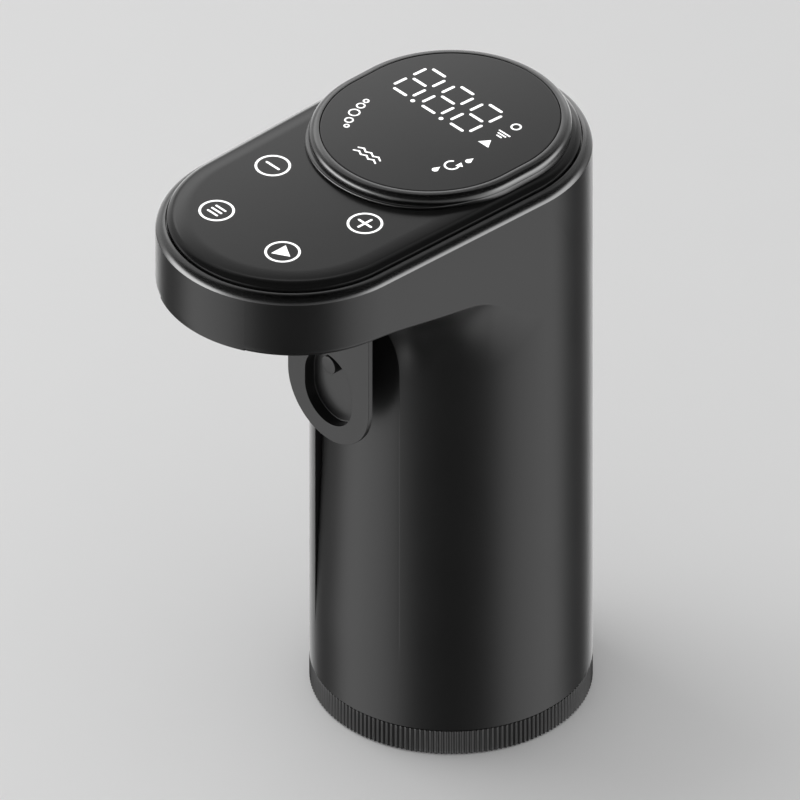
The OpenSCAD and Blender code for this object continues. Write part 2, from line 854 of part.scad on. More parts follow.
// Plan of the pump's body: two chambers side by side, port lugs and screw lugs
module pump_outline() {
    for (x = [drive_x, driven_x]) translate([x, pump_y]) circle(pump_body_r);
    translate([driven_x, pump_y - pump_body_r]) square([2 * pitch_r, 2 * pump_body_r]);
    for (y = [inlet_y, outlet_y]) translate([mesh_x, y]) circle(port_lug_r);
    translate([mesh_x - port_lug_r, outlet_y]) square([2 * port_lug_r, inlet_y - outlet_y]);
    pump_screw_places() circle(lug_r);
}

// The gears' chambers with the inlet and outlet passages
module pump_chamber() {
    for (x = [drive_x, driven_x]) translate([x, pump_y]) circle(chamber_r);
}

module pump_passage() {
    translate([mesh_x - port_w / 2, outlet_y]) square([port_w, inlet_y - outlet_y]);
    for (y = [inlet_y, outlet_y]) translate([mesh_x, y]) circle(port_w / 2);
}

module pump_housing() {
    color(pump_color) difference() {
        union() {
            translate([0, 0, housing_z]) linear_extrude(pump_top_z - housing_z) pump_outline();
            translate([mesh_x, outlet_y, pump_top_z]) cylinder(r = barb_r, h = barb_len);
        }
        translate([0, 0, housing_z - eps]) linear_extrude(chamber_h + eps) pump_chamber();
        translate([0, 0, housing_z - eps]) linear_extrude(port_h + eps) pump_passage();
        translate([mesh_x, outlet_y, housing_z]) cylinder(r = port_r, h = pump_top_z + barb_len);
        translate([drive_x, pump_y, housing_z]) cylinder(r = shaft_r + run_fit, h = pump_top_z);
        translate([drive_x, pump_y, pump_top_z - shaft_seal_t])
            cylinder(r = shaft_seal_r, h = shaft_seal_t + eps);
        translate([driven_x, pump_y, housing_z]) cylinder(r = shaft_r, h = chamber_h + driven_pin_end);
        pump_screw_places() translate([0, 0, housing_z - eps]) cylinder(r = screw_r, h = chamber_h + eps);
    }
}

module pump_gasket() {
    color("#8a6d3b") translate([0, 0, cover_top_z]) linear_extrude(paper_t) difference() {
        pump_outline();
        pump_chamber();
        pump_passage();
        pump_screw_places() circle(screw_r);
    }
}

module pump_cover() {
    color(pump_color) difference() {
        union() {
            translate([0, 0, deck_z]) linear_extrude(cover_t) pump_outline();
            translate([mesh_x, inlet_y, chassis_z]) cylinder(r = barb_r, h = chassis_t + eps);
        }
        translate([mesh_x, inlet_y, chassis_z - eps])
            cylinder(r = port_r, h = chassis_t + cover_t + 2 * eps);
        translate([driven_x, pump_y, cover_top_z - driven_pin_end]) cylinder(r = shaft_r, h = cover_t);
        pump_screw_places() translate([0, 0, deck_z - eps]) cylinder(r = screw_r, h = cover_t + 2 * eps);
    }
}

module pump_screws() {
    color(steel_color) pump_screw_places() screw_up(chassis_z, housing_z + chamber_h - chassis_z);
}

module shaft_seal() {
    color(rubber_color) translate([drive_x, pump_y, 0])
        sleeve(shaft_seal_r, shaft_r + run_fit, pump_top_z - shaft_seal_t, shaft_seal_t);
}

// Gear outline with involute flanks: angle from the tooth's middle at each radius
function involute(r) = let (b = pitch_r * cos(pressure_angle), q = max(r, b), a = acos(b / q))
    tan(a) * 180 / PI - a;
function half_tooth(r) = 90 / gear_teeth - backlash / 2 / pitch_r * 180 / PI
    + involute(pitch_r) - involute(r);

module gear_outline() {
    radii = [for (i = [0:5]) root_r + (tip_r - root_r) * i / 5];
    polygon([for (k = [0:gear_teeth - 1]) for (side = [-1, 1]) for (i = [0:5])
        let (r = radii[side < 0 ? i : 5 - i], a = 360 * k / gear_teeth + side * half_tooth(r))
            r * [cos(a), sin(a)]]);
}

module pump_gear(bore_r, turn) {
    difference() {
        linear_extrude(gear_w) rotate(turn) gear_outline();
        translate([0, 0, -eps]) cylinder(r = bore_r, h = gear_w + 2 * eps);
    }
}

module drive_gear() {
    color(plastic_color) translate([drive_x, pump_y, housing_z + end_float]) pump_gear(shaft_r, 0);
}

module driven_gear() {
    color(plastic_color) translate([driven_x, pump_y, housing_z + end_float])
        pump_gear(shaft_r + run_fit, 180 / gear_teeth);
}

module driven_pin() {
    color(steel_color) translate([driven_x, pump_y, cover_top_z - driven_pin_end])
        cylinder(r = shaft_r, h = paper_t + chamber_h + 2 * driven_pin_end);
}

// Motor

module motor_shaft() {
    color(steel_color) translate([drive_x, pump_y, housing_z + end_float])
        cylinder(r = shaft_r, h = motor_top_z - shaft_end - housing_z - end_float);
}

// Three-pole armature on the shaft
module motor_armature() {
    color("#9a5b2e") translate([drive_x, pump_y, armature_z]) difference() {
        cylinder(r = armature_r, h = armature_len);
        translate([0, 0, -eps]) cylinder(r = shaft_r, h = armature_len + 2 * eps);
        for (i = [0:2]) rotate([0, 0, 120 * i]) translate([pole_root_r, -pole_gap / 2, -eps])
            cube([armature_r, pole_gap, armature_len + 2 * eps]);
    }
}

// Two magnet shells inside the can
module motor_magnets() {
    color("#3a3a40") translate([drive_x, pump_y, armature_z])
        for (side = [0, 180]) rotate([0, 0, side - 60]) rotate_extrude(angle = 120)
            translate([motor_in_r - magnet_t, 0]) square([magnet_t, armature_len]);
}

module motor_can() {
    color(steel_color) translate([drive_x, pump_y, pump_top_z]) difference() {
        cylinder(r = motor_d / 2, h = motor_len);
        translate([0, 0, can_t]) cylinder(r = motor_in_r, h = motor_len);
        translate([0, 0, -eps]) cylinder(r = shaft_r + run_fit, h = can_t + 2 * eps);
    }
}

module motor_cap() {
    color("#26262a") translate([drive_x, pump_y, pump_top_z + motor_len]) difference() {
        cylinder(r = motor_d / 2, h = motor_cap_t);
        translate([0, 0, -eps]) cylinder(r = shaft_r + run_fit, h = motor_cap_t + 2 * eps);
    }
}

// Power

module battery_cell() {
    color("#2f6fb0") translate([battery_x, 0, deck_z]) {
        cylinder(r = battery_d / 2, h = battery_len);
        translate([0, 0, battery_len]) cylinder(r = battery_tip_r, h = battery_tip_h);
    }
}

module power_board() {
    color(board_color) difference() {
        translate([-power_board_w / 2, power_board_y - board_t, deck_z])
            cube([power_board_w, board_t, power_board_h]);
        power_board_screw_places() translate([0, 0, -rail_d])
            cylinder(r = boss_bore_r + room, h = 2 * rail_d);
    }
}

// Children at the charging board's two screws, pointing back from the board's front face
module power_board_screw_places() {
    for (side = [-1, 1])
        translate([side * rail_x, power_board_y - board_t, deck_z + power_board_h - rail_w / 2])
            rotate([-90, 0, 0]) children();
}

module power_board_screws() {
    color(steel_color) power_board_screw_places() {
        translate([0, 0, board_t]) cylinder(r = power_screw_head_r, h = screw_head_t);
        translate([0, 0, -rail_d + room]) cylinder(r = boss_bore_r - push_fit, h = board_t + rail_d - room);
    }
}

module usb_socket() {
    color(steel_color) difference() {
        usb_bar(usb_w, usb_h, power_board_y, usb_back_y);
        usb_bar(usb_w - 2 * usb_wall, usb_h - 2 * usb_wall, power_board_y + usb_back_t, usb_back_y + eps);
    }
}

// Chassis and base

module chassis_frame() {
    color("#4a4d52") difference() {
        union() {
            translate([0, 0, chassis_z]) cylinder(r = deck_r, h = chassis_t);
            post_places() translate([0, 0, flange_top_z])
                cylinder(r = post_r, h = chassis_z - flange_top_z + eps);
            difference() {
                translate([battery_x, 0, deck_z - eps])
                    cylinder(r = battery_d / 2 + push_fit + cradle_t, h = cradle_h + eps);
                translate([battery_x, 0, deck_z])
                    cylinder(r = battery_d / 2 + push_fit, h = cradle_h + eps);
                translate([driven_x - pump_body_r - room, -column_r, deck_z])
                    cube([column_d, column_d, cradle_h + eps]);
            }
            for (side = [-1, 1])
                translate([side * rail_x - rail_w / 2, power_board_y - board_t - rail_d, deck_z - eps])
                    cube([rail_w, rail_d, power_board_h + eps]);
        }
        post_places() translate([0, 0, flange_top_z - eps]) cylinder(r = screw_r, h = post_hole + eps);
        pump_screw_places() translate([0, 0, chassis_z - eps])
            cylinder(r = screw_r + room, h = chassis_t + 2 * eps);
        translate([mesh_x, inlet_y, chassis_z - eps])
            cylinder(r = tube_r + room, h = chassis_t + 2 * eps);
        power_board_screw_places() translate([0, 0, -rail_d - eps])
            cylinder(r = boss_bore_r, h = rail_d + 2 * eps);
    }
}

// Cup over the bottle neck, with a collar for the base ring and a lip under the shell
module bottle_adapter() {
    color(pump_color) difference() {
        union() {
            translate([0, 0, plate_top_z]) cylinder(r = collar_r, h = flange_top_z - plate_top_z);
            translate([0, 0, lip_z]) cylinder(r = lip_r, h = lip_t);
            translate([0, 0, shell_foot_z]) cylinder(r = shell_in_r - room, h = spigot_t);
            translate([0, 0, plate_top_z]) cylinder(r = cup_out_r, h = ceiling_top_z - plate_top_z);
        }
        translate([0, 0, plate_top_z - eps]) cylinder(r = cup_in_r, h = socket_depth - plate_top_z + eps);
        translate([0, 0, socket_depth - eps]) cylinder(r = stem_r + push_fit, h = ceiling_t + 2 * eps);
        post_places() translate([0, 0, plate_top_z - eps])
            cylinder(r = screw_r + room, h = flange_top_z - plate_top_z + 2 * eps);
    }
}

module bottle_seal() {
    color(silicone_color) sleeve(socket_r + seal_t, socket_r, 0, socket_depth);
}

// Knurled ring: a ribbed outline, stepped inside round the base plate and the lip
module base_ring() {
    color(shell_color) translate([0, 0, room]) difference() {
        linear_extrude(base_ring_h - room) polygon([for (i = [0:2 * rib_count - 1])
            (column_r - (i % 2) * rib_depth) * [cos(180 * i / rib_count), sin(180 * i / rib_count)]]);
        translate([0, 0, -eps]) cylinder(r = collar_r + run_fit, h = base_ring_h);
        translate([0, 0, -eps]) cylinder(r = plate_r + room, h = ring_web_z0 - room + eps);
        translate([0, 0, ring_web_z1 - room]) cylinder(r = lip_r + room, h = base_ring_h);
    }
}

module base_plate() {
    color(pump_color) difference() {
        sleeve(plate_r, cup_in_r + room, foot_h, plate_t);
        sleeve(foot_out_r, foot_in_r, foot_h - eps, foot_seat + eps);
        post_places() translate([0, 0, foot_h - eps]) {
            cylinder(r = screw_r + room, h = plate_t + 2 * eps);
            cylinder(r = screw_head_r + room, h = foot_seat + eps);
        }
    }
}

module base_screws() {
    color(steel_color) post_places() screw_up(foot_h + foot_seat, base_screw_len);
}

module foot_ring() {
    color(rubber_color) sleeve(foot_out_r, foot_in_r, 0, foot_h + foot_seat);
}

body_shell();
head_trim();
touch_panel();
panel_gasket();
display_bezel();
display_lens();
display_module();
control_board();
touch_springs();
board_screws();
dispense_lever();
lever_bumper();
lever_pin();
lever_spring();
micro_switch();
switch_plunger();
spout_nozzle();
nozzle_ring();
nozzle_nut();
aerator_insert();
outlet_tube();
inlet_tube();
suction_fitting();
pump_housing();
pump_gasket();
pump_cover();
pump_screws();
shaft_seal();
drive_gear();
driven_gear();
driven_pin();
motor_shaft();
motor_armature();
motor_magnets();
motor_can();
motor_cap();
battery_cell();
power_board();
usb_socket();
power_board_screws();
chassis_frame();
bottle_adapter();
bottle_seal();
base_ring();
base_plate();
base_screws();
foot_ring();
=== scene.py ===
"""Looks of an electric wine aerator: fine skins, lit marks, finishes and studio light.

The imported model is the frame. Lengths are millimetres in its own axes until a mesh is made:
+Z is up, -Y is the front, and the column stands on the Z axis. Every new piece is a set of
grids of points worked out with numpy, and the docstrings give each formula in words.
"""

import json
import math

import bpy
import numpy as np
from mathutils import Matrix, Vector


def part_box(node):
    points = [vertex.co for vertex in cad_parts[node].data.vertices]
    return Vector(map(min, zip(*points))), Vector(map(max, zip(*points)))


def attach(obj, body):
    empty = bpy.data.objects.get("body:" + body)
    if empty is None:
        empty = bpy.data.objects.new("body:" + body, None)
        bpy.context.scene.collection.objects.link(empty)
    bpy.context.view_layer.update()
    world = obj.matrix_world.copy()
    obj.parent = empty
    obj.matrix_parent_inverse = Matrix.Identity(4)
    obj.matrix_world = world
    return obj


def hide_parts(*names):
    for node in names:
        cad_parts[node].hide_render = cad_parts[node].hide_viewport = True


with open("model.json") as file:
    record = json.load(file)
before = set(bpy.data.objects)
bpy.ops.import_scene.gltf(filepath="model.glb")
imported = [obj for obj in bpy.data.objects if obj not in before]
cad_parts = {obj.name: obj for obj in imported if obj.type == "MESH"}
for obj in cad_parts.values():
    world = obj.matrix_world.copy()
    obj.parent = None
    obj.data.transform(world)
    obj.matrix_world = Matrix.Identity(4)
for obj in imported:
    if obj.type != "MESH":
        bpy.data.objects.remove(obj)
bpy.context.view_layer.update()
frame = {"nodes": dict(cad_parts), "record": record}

MM = 0.001
QUARTER = math.pi / 2


def low(node):
    """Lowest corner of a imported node, in millimetres"""
    return np.array(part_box(node)[0]) / MM


def high(node):
    """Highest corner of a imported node, in millimetres"""
    return np.array(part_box(node)[1]) / MM


# Driving sizes of the column and the head
COLUMN_R = high("base_ring")[0]
FRONT_R = 29.15
REACH = 45.4
LEAN = math.asin((COLUMN_R - FRONT_R) / REACH)
SIDE_TURN = QUARTER - LEAN
WALL = 2.2
FOOT_Z = low("body_shell")[2]
HEAD_Z = 124.5
FLOOR_Z = HEAD_Z + WALL
WALL_TOP_Z = high("body_shell")[2]
EDGE = 0.04

# Hollow under the head: its radius at the sides, the growth of that towards the channel, and the
# longer radius that the hollow is drawn out to where the head's side leaves the column
BLEND_SIDE_R = 16.0
BLEND_GROWTH = 12.0
BLEND_FROM = math.radians(30)
BLEND_TO = math.radians(62)
LONG_R = 62.0
LONG_FROM = math.radians(38)
LONG_TO = math.radians(72)

# Head's lower edge: fine along the front, opening out where the head's side leaves the column
CREASE_R = 0.12
CREASE_GROWTH = 12.0
CREASE_FROM = math.radians(62)
CREASE_TO = math.radians(80)

# Channel behind the lever: its rounded edge takes up to a share of the depth, and fades out between
# two shares of the hollow's quarter turn
CHANNEL_X = 13.05
CHANNEL_Z = 22.0
CHANNEL_RAMP = 4.0
CHANNEL_SLOPE = 0.03754
CHANNEL_EDGE = 0.16
EDGE_SHARE = 0.7
EDGE_FADE = (0.55, 0.95)
EDGE_END = 0.93
SLOT_BACK = 31.4
SLOT_FRONT = 35.65

# Trim ring and touch panel
RIM_Z = high("head_trim")[2]
TRIM_W = 2.2
TRIM_EDGE = 0.15
TRIM_SLOPE = math.radians(74)
TRIM_CROWN = math.radians(10)
TRIM_R = (TRIM_W - TRIM_EDGE) / (math.sin(TRIM_SLOPE) - math.sin(TRIM_CROWN))
TRIM_TOP_Z = WALL_TOP_Z + TRIM_R * (1 - math.cos(TRIM_SLOPE))
SHELF_H = 0.55
SHELF_Z = WALL_TOP_Z + SHELF_H
SHELF_INSET = 5.05
PANEL_INSET = 2.45
PANEL_FOOT_Z = low("touch_panel")[2]
PANEL_RISE = 1.7
PANEL_TOP_Z = RIM_Z + PANEL_RISE
PANEL_ROUND = 3.0
PANEL_LEVEL = 0.2
ROUND_SLOPE = math.radians(52)
CROWN_R = 18.0
CROWN_SLOPE = math.radians(10)

# Display island: bezel with a flange in front, and lens
PAD_Z = low("display_lens")[2]
ISLAND_TOP_Z = high("display_lens")[2]
BEZEL_R = high("display_bezel")[0]
BEZEL_IN_R = 23.35
BEZEL_ROUND = 1.7
BEZEL_SINK = 0.5
BEZEL_RIM = 0.12
FLANGE_W = 0.95
FLANGE_H = 0.9
FLANGE_ROUND = 0.45
FLANGE_FROM = math.radians(30)
FLANGE_TO = math.radians(74)
FLANGE_LEAST = 0.04
LENS_R = high("display_lens")[0]
LENS_ROUND = 0.15
LENS_LEVEL = 0.3
ISLAND_LEN = 6.2
MARK_T = 0.03

# Lever
LEVER_X = high("dispense_lever")[0]
LEVER_FACE = 35.3
LEVER_T = 1.15
LEVER_END_Z = 90.3
PIVOT_Z = 129.8
PIVOT_C = LEVER_FACE - LEVER_T / 2
HUB_R = 2.4
PIN_HOLE_R = 1.05
RECESS_R = 7.25
RECESS_HALF = 1.55
RECESS_RISE = 0.3
RECESS_Z = LEVER_END_Z + RECESS_RISE
RECESS_FLOOR = 32.7
CUP_BACK = 31.8
CUP_WALL = 0.9
STUD_R = 2.1
STUD_Z = 96.7
STUD_EDGE = 0.15
STUD_ROUND = 0.12
STUD_CROWN = 0.01
STUD_POLE_R = 0.05
LEVER_ROUND = 0.08
LEVER_LEVEL = 0.05
# Growth of the oval and rise, round the recess's foot and round the cup's back
RECESS_FOOT = ((-0.2, 0.0), (-0.06, 0.04), (0.0, 0.18))
CUP_FOOT = ((0.0, 0.3), (-0.1, 0.08), (-0.3, 0.0))
# Arms from the hub: half width, thickness, and each one's rise and length towards the back
ARM_HALF = 3.0
ARM_T = 1.6
ARMS = ((-0.9, 12.0), (HUB_R - ARM_T, -10.0))

# Base ring
RING_Z0 = low("base_ring")[2]
RING_Z1 = high("base_ring")[2]
RING_LIP = 0.55
RING_NECK_R = 29.1
RING_NECK_Z = 4.7
RING_STEP_R = 26.0
RING_STEP_Z = 2.3
RING_FOOT_R = 27.8
# Inset and distance from the ring's foot or top, round its outer edges
RING_FOOT_EDGE = ((0.12, 0.0), (0.03, 0.04), (0.0, 0.15))
RING_TOP_EDGE = ((0.0, 0.25), (0.04, 0.1), (0.14, 0.0))
RIB_COUNT = 174
RIB_POINTS = 8
RIB_DEPTH = 0.3
RIB_POWER = 1.4
RIB_END = 0.2

# Charging socket's opening in the back of the column
USB_Z = 66.0
USB_HALF_W = 4.85
USB_HALF_H = 1.95
USB_LIP = 0.15
USB_DRAW = 0.985


# Grids, fans and pieces

def grid(points, closed=False, turned=False):
    """Quads over rows and columns of points; closed joins the last column to the first.

    A face's normal is the column direction crossed with the row direction, or against it if turned.
    """
    rows, cols = points.shape[:2]
    i = np.arange(rows - 1)[:, None]
    j = np.arange(cols if closed else cols - 1)[None, :]
    k = (j + 1) % cols
    quads = np.stack([i * cols + j, i * cols + k, (i + 1) * cols + k, (i + 1) * cols + j], -1)
    quads = quads.reshape(-1, 4)
    return points.reshape(-1, 3), quads[:, ::-1] if turned else quads


def fan(loop, turned=False):
    """Triangles from a closed loop to its mean point, facing the side it runs anticlockwise on"""
    count = len(loop)
    j = np.arange(count)
    triangles = np.stack([j, (j + 1) % count, np.full(count, count)], -1)
    points = np.vstack([loop, loop.mean(0)])
    return points, triangles[:, ::-1] if turned else triangles


def mirrored(patch):
    """The same patch across the middle plane: x changes sign and the faces are turned"""
    points, faces = patch
    return points * np.array([-1.0, 1.0, 1.0]), faces[:, ::-1]


def stack(x, c, z):
    """Points from across, forward and up distances; forward is -Y"""
    x, c, z = np.broadcast_arrays(x, c, z)
    return np.stack([x, -c, z], -1).astype(float)


def add_object(name, data):
    """New object in the scene"""
    obj = bpy.data.objects.new(name, data)
    bpy.context.scene.collection.objects.link(obj)
    return obj


def add_mesh(name, points, faces, material):
    """New mesh object from points in millimetres and lists of point numbers"""
    mesh = bpy.data.meshes.new(name)
    mesh.from_pydata((points * MM).tolist(), [], faces)
    mesh.materials.append(material)
    return add_object(name, mesh)


def piece(name, patches, body, slot, *stands_for, material=None):
    """One object from patches of points and faces, at the origin, riding on a body.

    It has its slot's own finish, unless a material is given.
    """
    starts = np.cumsum([0] + [len(points) for points, faces in patches])
    points = np.concatenate([points for points, faces in patches])
    faces = [face for (_, fs), start in zip(patches, starts) for face in (fs + start).tolist()]
    obj = add_mesh(name, points, faces, material or FINISHES[slot])
    obj.data.polygons.foreach_set("use_smooth", np.ones(len(faces), bool))
    obj.data.update()
    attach(obj, body)
    if stands_for:
        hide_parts(*stands_for)


def smooth(low_end, high_end, value):
    """Step from 0 to 1 between two ends with level ends: 3t squared minus 2t cubed"""
    t = np.clip((value - low_end) / (high_end - low_end), 0, 1)
    return t * t * (3 - 2 * t)


def whole_turn(count):
    """A row of even angles round a circle"""
    return np.linspace(0, 2 * math.pi, count, endpoint=False)[None, :]


def arc(x, y, r, start, end, count):
    """Points of a circle's arc in a plane, angles in degrees"""
    a = np.radians(np.linspace(start, end, count))
    return np.stack([x + r * np.cos(a), y + r * np.sin(a)], -1)


def section(*parts):
    """One section from points and arcs in order"""
    return np.vstack([np.atleast_2d(np.asarray(part, float)) for part in parts])


def outline(rear_r, front_r, reach, steps=120, side_steps=12):
    """Plan outline and its normals: a front and a rear circle joined by their tangents.

    Each arc point is its circle's centre plus radius times the unit normal at a turn from the
    front; the two straights run between points of equal normal.
    """
    turn = QUARTER - math.asin((rear_r - front_r) / reach)
    front = np.linspace(-turn, turn, steps + 1)
    rear = np.linspace(turn, 2 * math.pi - turn, steps + 1)
    share = np.linspace(0, 1, side_steps + 1)[1:-1]
    turns = np.concatenate([front, np.full(len(share), turn), rear, np.full(len(share), -turn)])
    forward = np.concatenate([np.full(steps + 1, reach), reach * (1 - share),
                              np.zeros(steps + 1), reach * share])
    radius = rear_r + (front_r - rear_r) * forward / reach
    normals = np.stack([np.sin(turns), np.cos(turns)], -1)
    points = normals * radius[:, None]
    points[:, 1] += forward
    return points, normals


def drawn_in(track, inset, z):
    """Points of an outline moved in along its normals, at a height"""
    points, normals = track
    return stack(points[:, 0] - inset * normals[:, 0], points[:, 1] - inset * normals[:, 1], z)


def swept(track, profile, turned=False):
    """A section carried round an outline: each of its points is an inset along the normal and a height"""
    return grid(drawn_in(track, profile[:, :1], profile[:, 1:]), True, turned)


def revolved(profile, steps=192):
    """A section of radius and height turned about the column's axis"""
    a, r = whole_turn(steps), profile[:, :1]
    return grid(stack(r * np.sin(a), r * np.cos(a), profile[:, 1:]), True)


# Body shell

HEAD = outline(COLUMN_R, FRONT_R, REACH)


def channel_depth(z):
    """Depth of the channel: zero, then a parabola, then a straight slope of equal tangent"""
    start = CHANNEL_Z - CHANNEL_RAMP
    ramp = np.clip(z - start, 0, 2 * CHANNEL_RAMP)
    straight = np.maximum(z - start - 2 * CHANNEL_RAMP, 0)
    return CHANNEL_SLOPE * (ramp ** 2 / (4 * CHANNEL_RAMP) + straight)


def blend_radius(turn):
    """Radius of the hollow under the head, growing from the sides towards the channel"""
    return BLEND_SIDE_R + BLEND_GROWTH * (1 - smooth(BLEND_FROM, BLEND_TO, turn))


def head_reach(turn, inset=0.0):
    """Distance from the axis to the head's outline at a turn from the front.

    It is the far crossing of the front circle, or the side line's distance over a cosine.
    """
    front_r = FRONT_R - inset
    corner = math.atan2(front_r * math.sin(SIDE_TURN), REACH + front_r * math.cos(SIDE_TURN))
    side = (COLUMN_R - inset) / np.cos(SIDE_TURN - turn)
    inside = np.maximum(front_r ** 2 - (REACH * np.sin(turn)) ** 2, 0)
    return np.where(turn < corner, REACH * np.cos(turn) + np.sqrt(inside), side)


def crease_radius(turn):
    """Radius of the head's lower edge at a turn from the front"""
    return CREASE_R + CREASE_GROWTH * smooth(CREASE_FROM, CREASE_TO, turn) ** 2


def shell_flank(columns=150, column_rows=44, blend_rows=72, wall_rows=14, below=6.0, above=1.5,
                guess=0.5, repeats=16):
    """Right flank of the shell, from the channel's edge to where the head's side leaves the column.

    Rows climb the column, then follow by length a short upright, the hollow's arc, the flat
    underside, the edge's arc and a short upright, and then climb the head's side. Both arcs end at
    the tilt whose cosine is 1 - ledge / (blend + crease), so they meet level with each other. The
    edge's height comes from the same rule with the shorter blend, so a longer arc at the side only
    starts lower. The turn is found by repeating: radius and height from the turn, then the turn from
    its share u between the channel's edge, asin(edge / radius), and the side.
    """
    u = np.linspace(0, 1, columns)[None, :]
    climb = np.concatenate([np.linspace(0, 1, column_rows), np.ones(blend_rows + wall_rows)])[:, None]
    along = np.concatenate([np.zeros(column_rows), np.linspace(0, 1, blend_rows + 1)[1:],
                            np.ones(wall_rows)])[:, None]
    wall = np.concatenate([np.zeros(column_rows + blend_rows), np.linspace(0, 1, wall_rows + 1)[1:]])[:, None]
    foot = FOOT_Z + EDGE
    turn = np.full((len(climb), columns), guess)
    for _ in range(repeats):
        short, crease = blend_radius(turn), crease_radius(turn)
        blend = short + smooth(LONG_FROM, LONG_TO, turn) * (LONG_R - short)
        ledge = head_reach(turn) - COLUMN_R
        end_tilt = np.arccos(np.clip(1 - ledge / (blend + crease), 0, 1))
        short_tilt = np.arccos(np.clip(1 - ledge / (short + CREASE_R), 0, 1))
        edge_z = HEAD_Z - short + (short + CREASE_R) * np.sin(short_tilt)
        start_z = edge_z - (blend + crease) * np.sin(end_tilt)
        flat = np.maximum(ledge - blend - crease, 0)
        hollow_end = below + blend * end_tilt
        edge_end = hollow_end + flat + crease * end_tilt
        length = along * (edge_end + above)
        tilt = np.clip((length - below) / blend, 0, end_tilt)
        fall = np.clip((edge_end - length) / crease, 0, end_tilt)
        r = COLUMN_R + blend * (1 - np.cos(tilt)) + np.clip(length - hollow_end, 0, flat)
        r = r + crease * (np.cos(fall) - np.cos(end_tilt))
        z = foot + climb * (start_z - below - foot) + np.minimum(length, below)
        z = z + blend * np.sin(tilt) + crease * (np.sin(end_tilt) - np.sin(fall))
        z = z + np.maximum(length - edge_end, 0)
        z = z + wall * (WALL_TOP_Z - EDGE - z)
        slope = np.where(length > hollow_end, QUARTER, tilt)
        fade = 1 - smooth(*EDGE_FADE, slope / QUARTER)
        edge = np.minimum(CHANNEL_EDGE, EDGE_SHARE * channel_depth(z)) * fade
        start = np.arcsin((CHANNEL_X + edge) / r)
        turn = start + u * (SIDE_TURN - start)
    return turn, r, z, slope, edge


def shell_channel_side(r, z, tilt, edge, steps=6, wall_steps=12):
    """Rounded edge and side wall of the channel, on the right.

    The edge is a parabola from the flank's first column over the corner to a point set back
    against the surface's normal; the wall runs from there to the channel's floor.
    """
    rows = (tilt < EDGE_END * QUARTER) & (z > CHANNEL_Z - CHANNEL_RAMP)
    r, z, tilt, edge = r[rows], z[rows], tilt[rows], edge[rows]
    corner = np.sqrt(r ** 2 - CHANNEL_X ** 2)
    first = stack(CHANNEL_X + edge, np.sqrt(r ** 2 - (CHANNEL_X + edge) ** 2), z)
    middle = stack(CHANNEL_X, corner, z)
    last = stack(CHANNEL_X, corner - edge * np.cos(tilt), z + edge * np.sin(tilt))
    t = np.linspace(0, 1, steps)[None, :, None]
    bend = (1 - t) ** 2 * first[:, None] + 2 * t * (1 - t) * middle[:, None] + t ** 2 * last[:, None]
    top = stack(CHANNEL_X, np.sqrt((COLUMN_R + blend_radius(0.0)) ** 2 - CHANNEL_X ** 2), HEAD_Z)
    outer = np.vstack([last, top])
    floor_r = COLUMN_R - channel_depth(outer[:, 2])
    inner = stack(CHANNEL_X, np.sqrt(floor_r ** 2 - CHANNEL_X ** 2), outer[:, 2])
    s = np.linspace(0, 1, wall_steps)[None, :, None]
    wall = outer[:, None] * (1 - s) + inner[:, None] * s
    return [grid(bend, turned=True), grid(wall, turned=True)]


def shell_middle(columns=48, rows=90):
    """Front of the column with the channel's floor, the ceiling behind the slot and the front underside.

    The floor's radius is the column's less the channel's depth. The flat strips are straight
    joins from the floor's top to the slot, and from the slot to the front outline.
    """
    x = np.linspace(-CHANNEL_X, CHANNEL_X, columns)[None, :]
    z = np.linspace(FOOT_Z + EDGE, HEAD_Z, rows)[:, None]
    floor_r = COLUMN_R - channel_depth(z)
    face = stack(x, np.sqrt(floor_r ** 2 - x ** 2), z)
    share = np.linspace(0, 1, 8)[:, None]
    back = np.sqrt(floor_r[-1] ** 2 - x ** 2)
    front = REACH + np.sqrt(FRONT_R ** 2 - x ** 2)
    ceiling = stack(x, back + share * (SLOT_BACK - back), HEAD_Z)
    fall = np.linspace(QUARTER, 0, 6)[:, None]
    climb = np.linspace(0, 1, 8)[1:, None]
    edge_z = HEAD_Z + CREASE_R
    underside = np.concatenate([
        stack(x, SLOT_FRONT + share * (front - CREASE_R - SLOT_FRONT), HEAD_Z),
        stack(x, front - CREASE_R + CREASE_R * np.cos(fall), edge_z - CREASE_R * np.sin(fall))[1:],
        stack(x, front, edge_z + climb * (WALL_TOP_Z - EDGE - edge_z))])
    slot = np.array([[-1, SLOT_BACK], [1, SLOT_BACK], [1, SLOT_FRONT], [-1, SLOT_FRONT]])
    rim = np.vstack([np.linspace(slot[i], slot[(i + 1) % 4], 9) for i in range(4)])
    rise = np.array([HEAD_Z, FLOOR_Z])[:, None]
    walls = stack(rim[None, :, 0] * CHANNEL_X, rim[None, :, 1], rise)
    return [grid(face), grid(ceiling), grid(underside), grid(walls, True)]


def stadium(half_w, half_h, count):
    """Closed stadium outline about zero by its arc length, from its right-hand end upwards"""
    right = arc(half_w - half_h, 0, half_h, -90, 90, count // 2)
    return np.vstack([right, -right])


